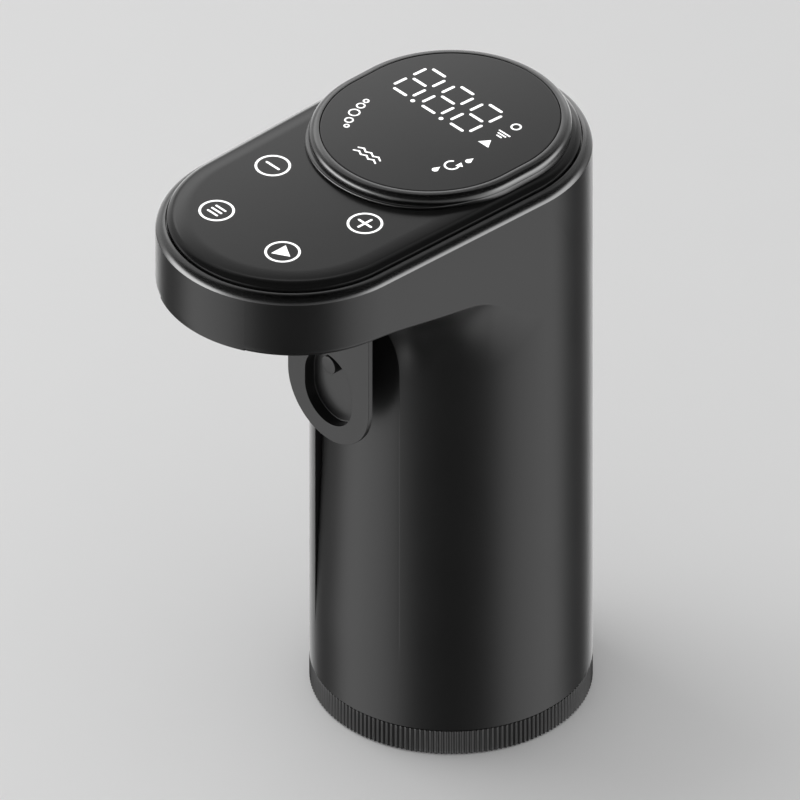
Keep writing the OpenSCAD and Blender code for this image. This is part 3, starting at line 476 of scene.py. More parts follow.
def shell_back(loops=64, crowding=1.25, port_points=200, side_points=60, top_points=41):
    """Back of the column and head as loops that open out from the charging port to a rectangle.

    A loop point lies between the port's outline and the point of the rectangle in the same order,
    and the loops crowd towards the port by a power. Across distances are then wrapped round the
    column as arc length.
    """
    port = stadium(USB_HALF_W, USB_HALF_H, port_points)
    half = (math.pi - SIDE_TURN) * COLUMN_R
    low_z, high_z = FOOT_Z + EDGE - USB_Z, WALL_TOP_Z - EDGE - USB_Z
    side = np.linspace(low_z, high_z, side_points)
    top = np.linspace(half, -half, top_points)
    rectangle = np.vstack([
        np.stack([np.full(side_points, half), side], -1),
        np.stack([top, np.full(top_points, high_z)], -1)[1:-1],
        np.stack([np.full(side_points, -half), side[::-1]], -1),
        np.stack([-top, np.full(top_points, low_z)], -1)[1:-1]])
    on_left = rectangle[:, 0] < 0
    start = np.argmin(np.where(on_left, np.inf, np.abs(rectangle[:, 1])))
    rectangle = np.roll(rectangle, -start, 0)
    place = np.linspace(0, len(port), len(rectangle), endpoint=False)
    port = np.roll(port, -len(port) // 4, 0)
    ring = np.vstack([port, port[:1]])
    near = np.stack([np.interp(place, np.arange(len(ring)), ring[:, k]) for k in (0, 1)], -1)
    share = (np.linspace(0, 1, loops) ** crowding)[:, None, None]
    spread = near[None] * (1 - share) + rectangle[None] * share
    turn = math.pi - spread[..., 0] / COLUMN_R
    wall = stack(COLUMN_R * np.sin(turn), COLUMN_R * np.cos(turn), USB_Z + spread[..., 1])
    depth = np.array([0.0, USB_LIP, WALL])[:, None]
    draw = np.array([1.0, USB_DRAW, USB_DRAW])[:, None]
    lip_turn = math.pi - near[None, :, 0] * draw / COLUMN_R
    lip_r = COLUMN_R - depth
    lip = stack(lip_r * np.sin(lip_turn), lip_r * np.cos(lip_turn), USB_Z + near[None, :, 1] * draw)
    return [grid(wall, True), grid(lip, True, True)]


def shell_inside(rows=10, columns=40, guess=0.6, repeats=12):
    """Inner wall: the bore with the channel's wall standing in it, the head's pocket and both rims.

    The pocket's floor takes its turn by repeating, as the flank does: the radius runs from the bore
    to the pocket's wall, and the turn is a share u between asin(channel / radius) and the side.
    """
    inner_r = COLUMN_R - WALL
    a = whole_turn(240)
    z = np.linspace(FOOT_Z, FLOOR_Z, 24)[:, None]
    ahead = np.where((np.abs(np.sin(a)) * inner_r < CHANNEL_X + WALL) & (np.cos(a) > 0), 1.0, 0.0)
    r = inner_r - ahead * channel_depth(z)
    bore = grid(stack(r * np.sin(a), r * np.cos(a), z), True, True)
    pocket = swept(HEAD, np.array([[WALL, FLOOR_Z], [WALL, WALL_TOP_Z]]), True)
    lip = swept(HEAD, section(arc(EDGE, WALL_TOP_Z - EDGE, EDGE, 180, 90, 5), [WALL, WALL_TOP_Z]))
    foot = revolved(section([inner_r, FOOT_Z], arc(COLUMN_R - EDGE, FOOT_Z + EDGE, EDGE, -90, 0, 5)))
    u = np.linspace(0, 1, columns)[None, :]
    share = np.linspace(0, 1, rows)[:, None]
    turn = np.full((rows, columns), guess)
    for _ in range(repeats):
        r = inner_r + share * (head_reach(turn, WALL) - inner_r)
        start = np.arcsin(CHANNEL_X / r)
        turn = start + u * (SIDE_TURN - start)
    floor = grid(stack(r * np.sin(turn), r * np.cos(turn), FLOOR_Z), turned=True)
    x = np.linspace(-CHANNEL_X, CHANNEL_X, 24)[None, :]
    front = REACH + np.sqrt((FRONT_R - WALL) ** 2 - x ** 2)
    ahead_floor = grid(stack(x, SLOT_FRONT + share * (front - SLOT_FRONT), FLOOR_Z), turned=True)
    return [bore, pocket, lip, foot, floor, mirrored(floor), ahead_floor]


def shell_patches():
    """All the patches of the shell"""
    turn, r, z, tilt, edge = shell_flank()
    flank = grid(stack(r * np.sin(turn), r * np.cos(turn), z))
    patches = [flank, mirrored(flank)]
    for patch in shell_channel_side(r[:, 0], z[:, 0], tilt[:, 0], edge[:, 0]):
        patches += [patch, mirrored(patch)]
    return patches + shell_middle() + shell_back() + shell_inside()


# Trim ring, touch panel and display island

def trim_patches():
    """Rim with an arched top that falls to the seam, a fine inner edge, and the shelf under the panel.

    The arch is nearly level at its inner end and reaches its full slope at the seam. Its radius is
    its width over the difference between the sines of the two slopes.
    """
    inner = TRIM_W - TRIM_EDGE
    arch = arc(TRIM_R * math.sin(TRIM_SLOPE), TRIM_TOP_Z - TRIM_R, TRIM_R,
               90 + math.degrees(TRIM_SLOPE), 90 + math.degrees(TRIM_CROWN), 18)
    rim = section(arch, arc(inner, arch[-1, 1] - TRIM_EDGE, TRIM_EDGE, 80, 0, 5), [TRIM_W, SHELF_Z])
    shelf = section([TRIM_W, SHELF_Z], [SHELF_INSET, SHELF_Z], [SHELF_INSET, WALL_TOP_Z], [0, WALL_TOP_Z])
    return [swept(HEAD, rim)] + [swept(HEAD, shelf[i:i + 2]) for i in range(3)]


def panel_patches():
    """Glossy panel: an upright edge, a round, a wide gentle crown and the flat top.

    The round and the crown are arcs that meet at the crown's outer slope.
    """
    crown, round_end = math.degrees(CROWN_SLOPE), math.degrees(ROUND_SLOPE)
    round_x = PANEL_INSET + PANEL_ROUND * math.sin(ROUND_SLOPE)
    round_z = PANEL_TOP_Z - CROWN_R + (CROWN_R - PANEL_ROUND) * math.cos(CROWN_SLOPE)
    level_x = round_x + (CROWN_R - PANEL_ROUND) * math.sin(CROWN_SLOPE)
    edge = section(arc(round_x, round_z, PANEL_ROUND, 90 + round_end, 90 + crown, 18),
                   arc(level_x, PANEL_TOP_Z - CROWN_R, CROWN_R, 90 + crown, 90, 14)[1:],
                   [level_x + PANEL_LEVEL, PANEL_TOP_Z])
    side = section([PANEL_INSET, PANEL_FOOT_Z], edge[0])
    return [swept(HEAD, side), swept(HEAD, edge), fan(drawn_in(HEAD, level_x + PANEL_LEVEL, PANEL_TOP_Z)),
            fan(drawn_in(HEAD, PANEL_INSET, PANEL_FOOT_Z), True)]


def bezel_patches():
    """Ring round the lens: flange, rounded outer edge, narrow flat top and inner wall.

    The round's arc runs on below level to the flange's top, so its start leans in by the angle whose
    sine is the drop over the radius. The flange keeps its width in front and runs out towards the
    sides: each of its insets x becomes foot + (x - foot) * share, with foot the inset of the arc's
    start and share falling as the normal turns.
    """
    track = outline(BEZEL_R, BEZEL_R, ISLAND_LEN)
    inner = BEZEL_R - BEZEL_IN_R
    flange_z = PANEL_TOP_Z + FLANGE_H
    round_z = ISLAND_TOP_Z - BEZEL_ROUND
    lean = math.asin((round_z - flange_z) / BEZEL_ROUND)
    foot = BEZEL_ROUND * (1 - math.cos(lean))
    flange = section([-FLANGE_W, PANEL_TOP_Z - BEZEL_SINK],
                     arc(FLANGE_ROUND - FLANGE_W, flange_z - FLANGE_ROUND, FLANGE_ROUND, 180, 90, 10),
                     [foot, flange_z])
    turn = np.abs(np.arctan2(track[1][:, 0], track[1][:, 1]))
    share = np.maximum(1 - smooth(FLANGE_FROM, FLANGE_TO, turn), FLANGE_LEAST)
    inset = foot + (flange[:, :1] - foot) * share[None, :]
    skirt = drawn_in(track, inset, flange[:, 1:])
    rim = section(arc(BEZEL_ROUND, round_z, BEZEL_ROUND, 180 + math.degrees(lean), 90, 24),
                  arc(inner - BEZEL_RIM, ISLAND_TOP_Z - BEZEL_RIM, BEZEL_RIM, 90, 0, 5), [inner, PAD_Z])
    return [grid(skirt, True), swept(track, rim)]


def lens_patches():
    """Flat window with a finely rounded edge, just below the bezel's top"""
    track = outline(LENS_R, LENS_R, ISLAND_LEN)
    top = ISLAND_TOP_Z - MARK_T
    round_z = top - LENS_ROUND
    edge = section([0, PAD_Z], arc(LENS_ROUND, round_z, LENS_ROUND, 180, 90, 5), [LENS_LEVEL, top])
    return [swept(track, edge), fan(drawn_in(track, LENS_LEVEL, top)), fan(drawn_in(track, 0, PAD_Z), True)]


# Lit marks on the panel and the lens

def stamp(shape, z):
    """Thin plate with a flat outline of across and forward distances, standing on z"""
    ring = np.asarray(shape, float)
    wall = stack(ring[None, :, 0], ring[None, :, 1], np.array([z, z + MARK_T])[:, None])
    area = np.sum(ring[:, 0] * np.roll(ring[:, 1], -1) - np.roll(ring[:, 0], -1) * ring[:, 1])
    clockwise = bool(area > 0)
    return [grid(wall, True, clockwise), fan(wall[1], clockwise)]


def ring_mark(x, c, r, width, z, start=0.0, end=360.0):
    """Thin flat ring, or a stretch of one between two angles in degrees"""
    whole = end - start >= 360
    a = np.radians(np.linspace(start, end, 97))[:-1 if whole else None][None, :]
    radius = r + width / 2 * np.array([1, 1, -1, -1])[:, None]
    level = z + MARK_T * np.array([0, 1, 1, 0])[:, None]
    return [grid(stack(x + radius * np.cos(a), c + radius * np.sin(a), level), whole, True)]


def bar(x0, c0, x1, c1, width):
    """Outline of a straight stroke with round ends"""
    heading = math.degrees(math.atan2(c1 - c0, x1 - x0))
    end = arc(0, 0, width / 2, heading - 90, heading + 90, 9)
    return np.vstack([end + [x1, c1], -end + [x0, c0]])


# Touch keys: ring, stroke, places to each side of a shifted middle, and the signs in them
KEY_RING_R = 3.6
KEY_STROKE = 0.55
KEY_SHIFT = -0.8
REAR_KEY = (14.4, 37.24)
FRONT_KEY = (10.3, 57.14)
SIGN_ARM = 1.85
SIGN_GAP = 0.02
BAR_PLACES = (-1.2, 0.0, 1.2)
BAR_HALF = 1.4
BAR_STROKE = 0.5
PLAY_CORNERS = ((-1.3, -2.1), (-1.3, 2.1), (2.4, 0.0))


def key_marks():
    """Four round touch keys: minus, plus, a list of three bars, and a play triangle"""
    z = PANEL_TOP_Z
    minus, plus = ((KEY_SHIFT + side * REAR_KEY[0], REAR_KEY[1]) for side in (-1, 1))
    bars, play = ((KEY_SHIFT + side * FRONT_KEY[0], FRONT_KEY[1]) for side in (-1, 1))
    patches = []
    for x, c in (minus, plus, bars, play):
        patches += ring_mark(x, c, KEY_RING_R, KEY_STROKE, z)
    for x, c in (minus, plus):
        patches += stamp(bar(x - SIGN_ARM, c, x + SIGN_ARM, c, KEY_STROKE), z)
    x, c = plus
    for sign in (-1, 1):
        start = c + sign * (KEY_STROKE / 2 + SIGN_GAP)
        patches += stamp(bar(x, start, x, c + sign * SIGN_ARM, KEY_STROKE), z)
    x, c = bars
    for step in BAR_PLACES:
        patches += stamp(bar(x - BAR_HALF, c + step, x + BAR_HALF, c + step, BAR_STROKE), z)
    return patches + stamp(np.add(play, PLAY_CORNERS), z)


# Lit figures, and the dot after one: its place from the figure's right foot, and its radius
DIGIT_W = 5.9
DIGIT_H = 10.7
DIGIT_STROKE = 0.7
DIGIT_STEP = 8.85
DIGIT_LEFT = -16.9
DIGIT_FOOT = 1.8
DIGIT_SLANT = 0.05
SEGMENT_GAP = 1.25
DOT_PLACE = (1.3, 0.3)
DOT_R = 0.52

# Plain signs on the lens, by places across and forward: a ring, three bars, a triangle, bubbles,
# two waves, a round arrow and two drops
SIGN_STROKE = 0.38
RING_SIGN = (12.2, -7.5, 1.0, 0.42)
BARS_SIGN = ((10.72, 13.88, -4.1), (11.2, 13.4, -3.3), (11.68, 12.92, -2.5))
TRIANGLE_SIGN = ((10.6, 2.0), (13.8, 2.0), (12.2, -0.3))
BUBBLES = ((-16.3, 9.4, 0.55), (-15.8, 11.4, 0.85), (-14.9, 14.1, 1.15), (-13.6, 16.8, 0.85),
           (-12.4, 18.6, 0.5))
BUBBLE_STROKE = 0.36
WAVE_ROWS = (21.8, 23.2)
WAVE_LEFT = -4.9
WAVE_STEP = 1.13
WAVE_COUNT = 6
WAVE_RISE = 0.3
ARROW_RING = (13.3, 12.0, 1.5, 0.45)
ARROW_SPAN = (-30, 240)
ARROW_HEAD = ((13.95, 9.9), (13.95, 11.6), (15.4, 10.7))
DROPS = ((12.1, 15.7), (14.6, 8.4))
DROP_R = 0.7
DROP_SPAN = (-50, 230)
DROP_TIP = 2.1


def segment(x0, c0, x1, c1):
    """Outline of one segment: a round-ended stroke between two corners, drawn in by the gap"""
    ends = np.array([[x0, c0], [x1, c1]], float)
    run = (ends[1] - ends[0]) / np.hypot(x1 - x0, c1 - c0) * SEGMENT_GAP
    return bar(*(ends[0] + run), *(ends[1] - run), DIGIT_STROKE)


def figure_marks(left, z):
    """Strokes of one figure with all its seven segments, leaning by the slant"""
    levels = [DIGIT_FOOT - k * DIGIT_H / 2 for k in range(3)]
    sides = [[left + DIGIT_W * side + DIGIT_SLANT * (DIGIT_FOOT - c) for c in levels] for side in (0, 1)]
    patches = []
    for k in range(3):
        patches += stamp(segment(sides[0][k], levels[k], sides[1][k], levels[k]), z)
    for side in sides:
        for k in range(2):
            patches += stamp(segment(side[k], levels[k], side[k + 1], levels[k + 1]), z)
    return patches


def drop_mark(x, c):
    """Outline of a drop: most of a circle, and a point behind it"""
    return section(arc(x, c, DROP_R, *DROP_SPAN, 25), [x, c - DROP_TIP * DROP_R])


def display_marks():
    """Three figures, a dot after the first and second, and plain signs beside and below them"""
    z = ISLAND_TOP_Z - MARK_T
    patches = []
    for i in range(3):
        patches += figure_marks(DIGIT_LEFT + i * DIGIT_STEP, z)
    for i in range(2):
        right = DIGIT_LEFT + i * DIGIT_STEP + DIGIT_W
        dot = arc(right + DOT_PLACE[0], DIGIT_FOOT + DOT_PLACE[1], DOT_R, 0, 360, 33)[:-1]
        patches += stamp(dot, z)
    patches += ring_mark(*RING_SIGN, z)
    for left, right, c in BARS_SIGN:
        patches += stamp(bar(left, c, right, c, SIGN_STROKE), z)
    patches += stamp(TRIANGLE_SIGN, z)
    for x, c, r in BUBBLES:
        patches += ring_mark(x, c, r, BUBBLE_STROKE, z)
    for c in WAVE_ROWS:
        for k in range(WAVE_COUNT):
            x, rise = WAVE_LEFT + k * WAVE_STEP, WAVE_RISE * (-1) ** k
            patches += stamp(bar(x, c + rise, x + WAVE_STEP, c - rise, SIGN_STROKE), z)
    patches += ring_mark(*ARROW_RING, z, *ARROW_SPAN)
    patches += stamp(ARROW_HEAD, z)
    for x, c in DROPS:
        patches += stamp(drop_mark(x, c), z)
    return patches


# Lever

def oval_reach(angle, extra):
    """Distance from the recess's middle to its oval outline at an angle.

    It is the straight side's distance over a cosine, or the far crossing of an end circle.
    """
    r = RECESS_R + extra
    side = r / np.maximum(np.abs(np.cos(angle)), 1e-9)
    ends = RECESS_HALF * np.abs(np.sin(angle))
    ends = ends + np.sqrt(r ** 2 - (RECESS_HALF * np.cos(angle)) ** 2)
    return np.where(np.abs(side * np.sin(angle)) < RECESS_HALF, side, ends)


def lever_outline(end_points=97, steps=24):
    """Lever outline from its lower left round the end circle, up the right side and over the hub"""
    bottom = np.radians(np.linspace(180, 360, end_points))
    rise = np.linspace(LEVER_END_Z, PIVOT_Z, steps + 1)[1:]
    x = np.concatenate([LEVER_X * np.cos(bottom), np.full(steps, LEVER_X),
                        np.linspace(LEVER_X, -LEVER_X, steps + 1)[1:], np.full(steps - 1, -LEVER_X)])
    z = np.concatenate([LEVER_END_Z + LEVER_X * np.sin(bottom), rise, np.full(steps, PIVOT_Z),
                        rise[::-1][1:]])
    return x, z


def lever_patches():
    """Lever plate with its oval cup as loops about the recess's middle, its hub and two arms.

    Each loop keeps one angle per column. Loops run from the recess's floor up its wall, over a
    rounded edge, across the face, round the plate's edge, and over the back to the cup's back.
    """
    x, z = lever_outline()
    angle = np.arctan2(z - RECESS_Z, x)
    inset = np.hypot(x, z - RECESS_Z)

    def oval(extra, c):
        reach = oval_reach(angle, extra)
        return stack(reach * np.cos(angle), c, RECESS_Z + reach * np.sin(angle))

    def plate(draw, c):
        share = 1 - draw / inset
        return stack(x * share, c, RECESS_Z + (z - RECESS_Z) * share)

    back = LEVER_FACE - LEVER_T
    e, lip = LEVER_ROUND, LEVER_ROUND + LEVER_LEVEL
    turns = np.radians(np.linspace(0, 90, 6))
    wall = [oval(growth, RECESS_FLOOR + rise) for growth, rise in RECESS_FOOT]
    wall += [oval(e * (1 - math.cos(t)), LEVER_FACE - e + e * math.sin(t)) for t in turns]
    wall += [oval(lip, LEVER_FACE)]
    face = [oval(lip, LEVER_FACE), plate(lip, LEVER_FACE)]
    face += [plate(e * (1 - math.sin(t)), LEVER_FACE - e + e * math.cos(t)) for t in turns]
    face += [plate(e * (1 - math.cos(t)), back + e - e * math.sin(t)) for t in turns]
    face += [plate(lip, back)]
    rear = [plate(lip, back), oval(CUP_WALL, back)]
    cup = [oval(CUP_WALL, back)]
    cup += [oval(CUP_WALL + growth, CUP_BACK + rise) for growth, rise in CUP_FOOT]
    patches = [grid(np.array(loops), True, True) for loops in (wall, face, rear, cup)]
    patches += [fan(wall[0]), fan(cup[-1], True)]
    arms = [patch for rise, length in ARMS for patch in arm_patches(rise, length)]
    return patches + hub_patches() + arms


def hub_patches():
    """Round hub along the pin: outer wall, two ends and the bore, turned about the pivot"""
    a = whole_turn(48)
    x = LEVER_X * np.array([-1, -1, 1, 1, -1])[:, None]
    r = np.array([PIN_HOLE_R, HUB_R, HUB_R, PIN_HOLE_R, PIN_HOLE_R])[:, None]
    tube = stack(x, PIVOT_C + r * np.cos(a), PIVOT_Z + r * np.sin(a))
    return [grid(tube[i:i + 2], True, True) for i in range(4)]


def arm_patches(rise, length):
    """Flat arm from the hub, with its end rounded: a strip outline carried up by its thickness"""
    end = np.radians(np.linspace(0, 180, 25))
    inward = math.copysign(ARM_HALF, length)
    x = np.concatenate([ARM_HALF * np.cos(end), [-ARM_HALF, ARM_HALF]])
    c = np.concatenate([PIVOT_C - length + inward - inward * np.sin(end), [PIVOT_C, PIVOT_C]])
    foot = stack(x, c, PIVOT_Z + rise)
    top = stack(x, c, PIVOT_Z + rise + ARM_T)
    forward = length < 0
    return [grid(np.array([foot, top]), True, forward), fan(top, forward), fan(foot, not forward)]


def stud_patches():
    """Round stud in the recess with a rounded rim and a slightly crowned face"""
    a = whole_turn(64)
    rim = section([STUD_R, RECESS_FLOOR],
                  arc(STUD_R - STUD_ROUND, LEVER_FACE - STUD_EDGE, STUD_ROUND, 0, 84, 6),
                  [STUD_R / 2, LEVER_FACE - STUD_CROWN], [STUD_POLE_R, LEVER_FACE])
    r, c = rim[:, :1], rim[:, 1:]
    loops = stack(r * np.cos(a), c, STUD_Z + r * np.sin(a))
    return [grid(loops, True), fan(loops[-1])]


# Base ring

def ring_patches():
    """Knurled ring: rounded ribs outside, and steps inside round the base plate and the lip.

    The outside radius dips between ribs by the rib depth times the size of a sine to a power.
    """
    a = whole_turn(RIB_COUNT * RIB_POINTS)
    dip = RIB_DEPTH * np.abs(np.sin(a * RIB_COUNT / 2)) ** RIB_POWER
    rows = section([RING_LIP, RING_Z0], [(inset, RING_Z0 + rise) for inset, rise in RING_FOOT_EDGE],
                   [(inset, RING_Z1 - drop) for inset, drop in RING_TOP_EDGE], [RING_LIP, RING_Z1])
    inset, z = rows[:, :1], rows[:, 1:]
    flat = smooth(RIB_END, RING_LIP, inset)
    r = COLUMN_R - inset - dip * (1 - flat)
    outer = grid(stack(r * np.sin(a), r * np.cos(a), z), True)
    steps = section([COLUMN_R - RING_LIP, RING_Z1], [RING_NECK_R, RING_Z1], [RING_NECK_R, RING_NECK_Z],
                    [RING_STEP_R, RING_NECK_Z], [RING_STEP_R, RING_STEP_Z], [RING_FOOT_R, RING_STEP_Z],
                    [RING_FOOT_R, RING_Z0], [COLUMN_R - RING_LIP, RING_Z0])
    return [outer] + [revolved(steps[i:i + 2]) for i in range(len(steps) - 1)]


# Finishes

FINE_SHARE = 0.45
GRAIN_SPAN = (0.3, 0.7)


def set_sockets(node, values):
    """Set a node's sockets by name, with an underscore for each space"""
    for name, value in values.items():
        node.inputs[name.replace("_", " ")].default_value = value


def add_node(tree, kind, **values):
    """New shader node of a kind, with socket values by name"""
    node = tree.nodes.new("ShaderNode" + kind)
    set_sockets(node, values)
    return node


def feed(tree, value, socket):
    """Set a socket to a number, or link an output to it"""
    if isinstance(value, (int, float)):
        socket.default_value = value
    else:
        tree.links.new(value, socket)


def math_node(tree, operation, *values):
    """Result of a sum on numbers and outputs"""
    node = add_node(tree, "Math")
    node.operation = operation
    for socket, value in zip(node.inputs, values):
        feed(tree, value, socket)
    return node.outputs[0]


def grain_group():
    """Shared fine grain: a broad and a fine noise give a mask, and the fine one a height"""
    group = bpy.data.node_groups.new("fine_grain", "ShaderNodeTree")
    for name in ("Fine", "Broad"):
        group.interface.new_socket(name, in_out="INPUT", socket_type="NodeSocketFloat")
    for name in ("Mask", "Height"):
        group.interface.new_socket(name, in_out="OUTPUT", socket_type="NodeSocketFloat")
    given = group.nodes.new("NodeGroupInput")
    made = group.nodes.new("NodeGroupOutput")
    place = add_node(group, "TexCoord")
    link = group.links.new
    noise = {}
    for name, detail in (("Fine", 3.0), ("Broad", 4.0)):
        node = add_node(group, "TexNoise", Detail=detail)
        link(place.outputs["Object"], node.inputs["Vector"])
        link(given.outputs[name], node.inputs["Scale"])
        noise[name] = node.outputs["Fac"]
    rest = math_node(group, "MULTIPLY", noise["Broad"], 1 - FINE_SHARE)
    link(math_node(group, "MULTIPLY_ADD", noise["Fine"], FINE_SHARE, rest), made.inputs["Mask"])
    link(noise["Fine"], made.inputs["Height"])
    return group


GRAIN = grain_group()


def finish(name, dark, light, rough, fine=2500.0, broad=60.0, depth=0.00001, strength=0.15, **settings):
    """Surface whose colour and roughness drift with the grain, with a bump of the given depth.

    dark and light are the colour's ends, rough is the roughness's ends, and settings go on the
    shader's own sockets.
    """
    material = bpy.data.materials.new(name)
    material.use_nodes = True
    tree = material.node_tree
    shader = tree.nodes["Principled BSDF"]
    set_sockets(shader, settings)
    grain = add_node(tree, "Group")
    grain.node_tree = GRAIN
    set_sockets(grain, {"Fine": fine, "Broad": broad})
    tint = add_node(tree, "Mix")
    tint.data_type = "RGBA"
    set_sockets(tint, {"A": (*dark, 1), "B": (*light, 1)})
    span = add_node(tree, "MapRange", From_Min=GRAIN_SPAN[0], From_Max=GRAIN_SPAN[1],
                    To_Min=rough[0], To_Max=rough[1])
    bump = add_node(tree, "Bump", Strength=strength, Distance=depth)
    link = tree.links.new
    link(grain.outputs["Mask"], tint.inputs["Factor"])
    link(grain.outputs["Mask"], span.inputs["Value"])
    link(grain.outputs["Height"], bump.inputs["Height"])
    link(tint.outputs["Result"], shader.inputs["Base Color"])
    link(span.outputs["Result"], shader.inputs["Roughness"])
    link(bump.outputs["Normal"], shader.inputs["Normal"])
    return material


def grey(value):
    """Neutral colour of one linear value"""
    return (value, value, value)


STUD_RUBBER = finish("stud_rubber", grey(0.012), grey(0.018), (0.40, 0.48), depth=0.00002)
RING_SATIN = finish("ring_satin", grey(0.010), grey(0.014), (0.31, 0.37))
LIT_WHITE = finish("lit_white", grey(0.8), grey(0.85), (0.4, 0.5),
                   Emission_Color=(1, 1, 1, 1), Emission_Strength=0.75)

# Finish of each of the record's slots: the colour's and the roughness's ends, and settings
LOOKS = {
    "shell_satin": (grey(0.0065), grey(0.0095), (0.31, 0.36), {}),
    "trim_satin": (grey(0.15), grey(0.17), (0.22, 0.27), {"Metallic": 1.0}),
    "panel_gloss": (grey(0.005), grey(0.007), (0.16, 0.20), {"strength": 0.03}),
    "lens_dark": (grey(0.012), grey(0.014), (0.12, 0.16), {"strength": 0.02}),
    "steel": ((0.50, 0.52, 0.55), (0.62, 0.64, 0.67), (0.22, 0.34), {"Metallic": 1.0}),
    "rubber": (grey(0.018), grey(0.028), (0.6, 0.75), {"depth": 0.00005}),
    "silicone": ((0.58, 0.60, 0.62), (0.66, 0.68, 0.70), (0.35, 0.45), {"Subsurface_Weight": 0.1}),
    "pale_plastic": ((0.60, 0.60, 0.58), (0.68, 0.68, 0.66), (0.35, 0.45), {}),
    "dark_plastic": (grey(0.03), grey(0.045), (0.4, 0.5), {"depth": 0.00003}),
    "red_plastic": ((0.45, 0.03, 0.02), (0.55, 0.05, 0.03), (0.35, 0.45), {}),
    "board_green": ((0.008, 0.07, 0.022), (0.014, 0.10, 0.032), (0.3, 0.42), {"broad": 400.0}),
    "paper": ((0.42, 0.36, 0.26), (0.52, 0.45, 0.33), (0.8, 0.9), {"depth": 0.00005}),
    "copper": ((0.45, 0.18, 0.08), (0.60, 0.26, 0.12), (0.3, 0.4), {"Metallic": 1.0}),
    "ferrite": (grey(0.03), grey(0.05), (0.55, 0.7), {"depth": 0.00004}),
    "cell_wrap": ((0.02, 0.06, 0.22), (0.03, 0.08, 0.28), (0.25, 0.32), {"Coat_Weight": 0.4})}
FINISHES = {slot: finish(slot, *ends, **more) for slot, (*ends, more) in LOOKS.items()}


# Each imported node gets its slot's finish, and then the new pieces are made
for entry in frame["record"]["subparts"]:
    mesh = frame["nodes"][entry["node"]].data
    mesh.materials.clear()
    mesh.materials.append(FINISHES[entry["material_slot"]])

piece("shell_skin", shell_patches(), "body", "shell_satin", "body_shell")
piece("trim_skin", trim_patches(), "body", "trim_satin", "head_trim")
piece("panel_skin", panel_patches(), "body", "panel_gloss", "touch_panel")
piece("bezel_skin", bezel_patches(), "body", "trim_satin", "display_bezel")
piece("lens_skin", lens_patches(), "body", "lens_dark", "display_lens")
piece("key_marks", key_marks(), "body", "pale_plastic", material=LIT_WHITE)
piece("display_marks", display_marks(), "body", "pale_plastic", material=LIT_WHITE)
piece("lever_skin", lever_patches(), "lever", "shell_satin", "dispense_lever")
piece("stud_skin", stud_patches(), "lever", "rubber", "lever_bumper", material=STUD_RUBBER)
piece("ring_skin", ring_patches(), "ring", "shell_satin", "base_ring", material=RING_SATIN)


# Floor, light and camera

VIEW_TURN = math.radians(47.4)
VIEW_RISE = math.radians(35.2)
VIEW_PIXEL = 0.21153
IMAGE_SIDE = 800
BASE_PIXEL = (451.03, 673.86)
VIEW_DISTANCE = 600.0
FLOOR_HALF = 3000.0


def make_floor():
    """Large level sheet under the part, pale to the camera and left out of mirror reflections"""
    share = np.linspace(-1, 1, 9)
    floor = stack(FLOOR_HALF * share[None, :], FLOOR_HALF * share[:, None], 0.0)
    points, faces = grid(floor, turned=True)
    paper = finish("floor_paper", grey(0.78), grey(0.80), (0.8, 0.9))
    obj = add_mesh("floor", points, faces.tolist(), paper)
    obj.visible_glossy = False


def view_axes():
    """Directions in the photo's view: to the right, up, and back to the camera"""
    s, c = math.sin(VIEW_TURN), math.cos(VIEW_TURN)
    se, ce = math.sin(VIEW_RISE), math.cos(VIEW_RISE)
    return np.array([[c, s, 0], [-s * se, c * se, ce], [s * ce, -c * ce, se]])


def make_camera():
    """Parallel camera whose picture puts the part's base on its pixel in the photo"""
    right, up, back = view_axes()
    middle = right * (IMAGE_SIDE / 2 - BASE_PIXEL[0]) * VIEW_PIXEL
    middle = middle + up * (BASE_PIXEL[1] - IMAGE_SIDE / 2) * VIEW_PIXEL
    data = bpy.data.cameras.new("camera")
    data.type = "ORTHO"
    data.ortho_scale = IMAGE_SIDE * VIEW_PIXEL * MM
    data.clip_end = 10
    camera = add_object("camera", data)
    turned = np.eye(4)
    turned[:3, :3] = np.stack([right, up, back], -1)
    turned[:3, 3] = (middle + back * VIEW_DISTANCE) * MM
    camera.matrix_world = Matrix(turned.tolist())
    bpy.context.scene.camera = camera


def bank(tree, share, stops, interpolation):
    """Radiance along a share from 0 to 1, from stops of place and radiance"""
    ramp = add_node(tree, "ValToRGB")
    ramp.color_ramp.interpolation = interpolation
    points = ramp.color_ramp.elements
    while len(points) < len(stops):
        points.new(0.5)
    peak = max(value for _, value in stops)
    for point, (place, value) in zip(points, stops):
        point.position = place
        point.color = (*grey(value / peak), 1)
    tree.links.new(share, ramp.inputs[0])
    return math_node(tree, "MULTIPLY", ramp.outputs["Color"], peak)


# Radiance round the part by the turn from the camera, over a half turn to each side: below the
# horizon, where upright walls look, at it, and above it, where level tops look
LOW_STOPS = [(0.0, 0.06), (0.14, 0.15), (0.315, 1.62), (0.52, 1.66), (0.62, 0.14), (0.78, 0.10),
             (0.90, 2.2), (1.0, 2.2)]
MIDDLE_STOPS = [(0.0, 0.30), (0.14, 0.45), (0.26, 0.90), (0.38, 3.2), (0.56, 3.2), (0.68, 0.5), (1.0, 1.6)]
HIGH_STOPS = [(0.0, 0.03), (0.59, 0.05), (0.72, 0.45), (1.0, 1.10)]


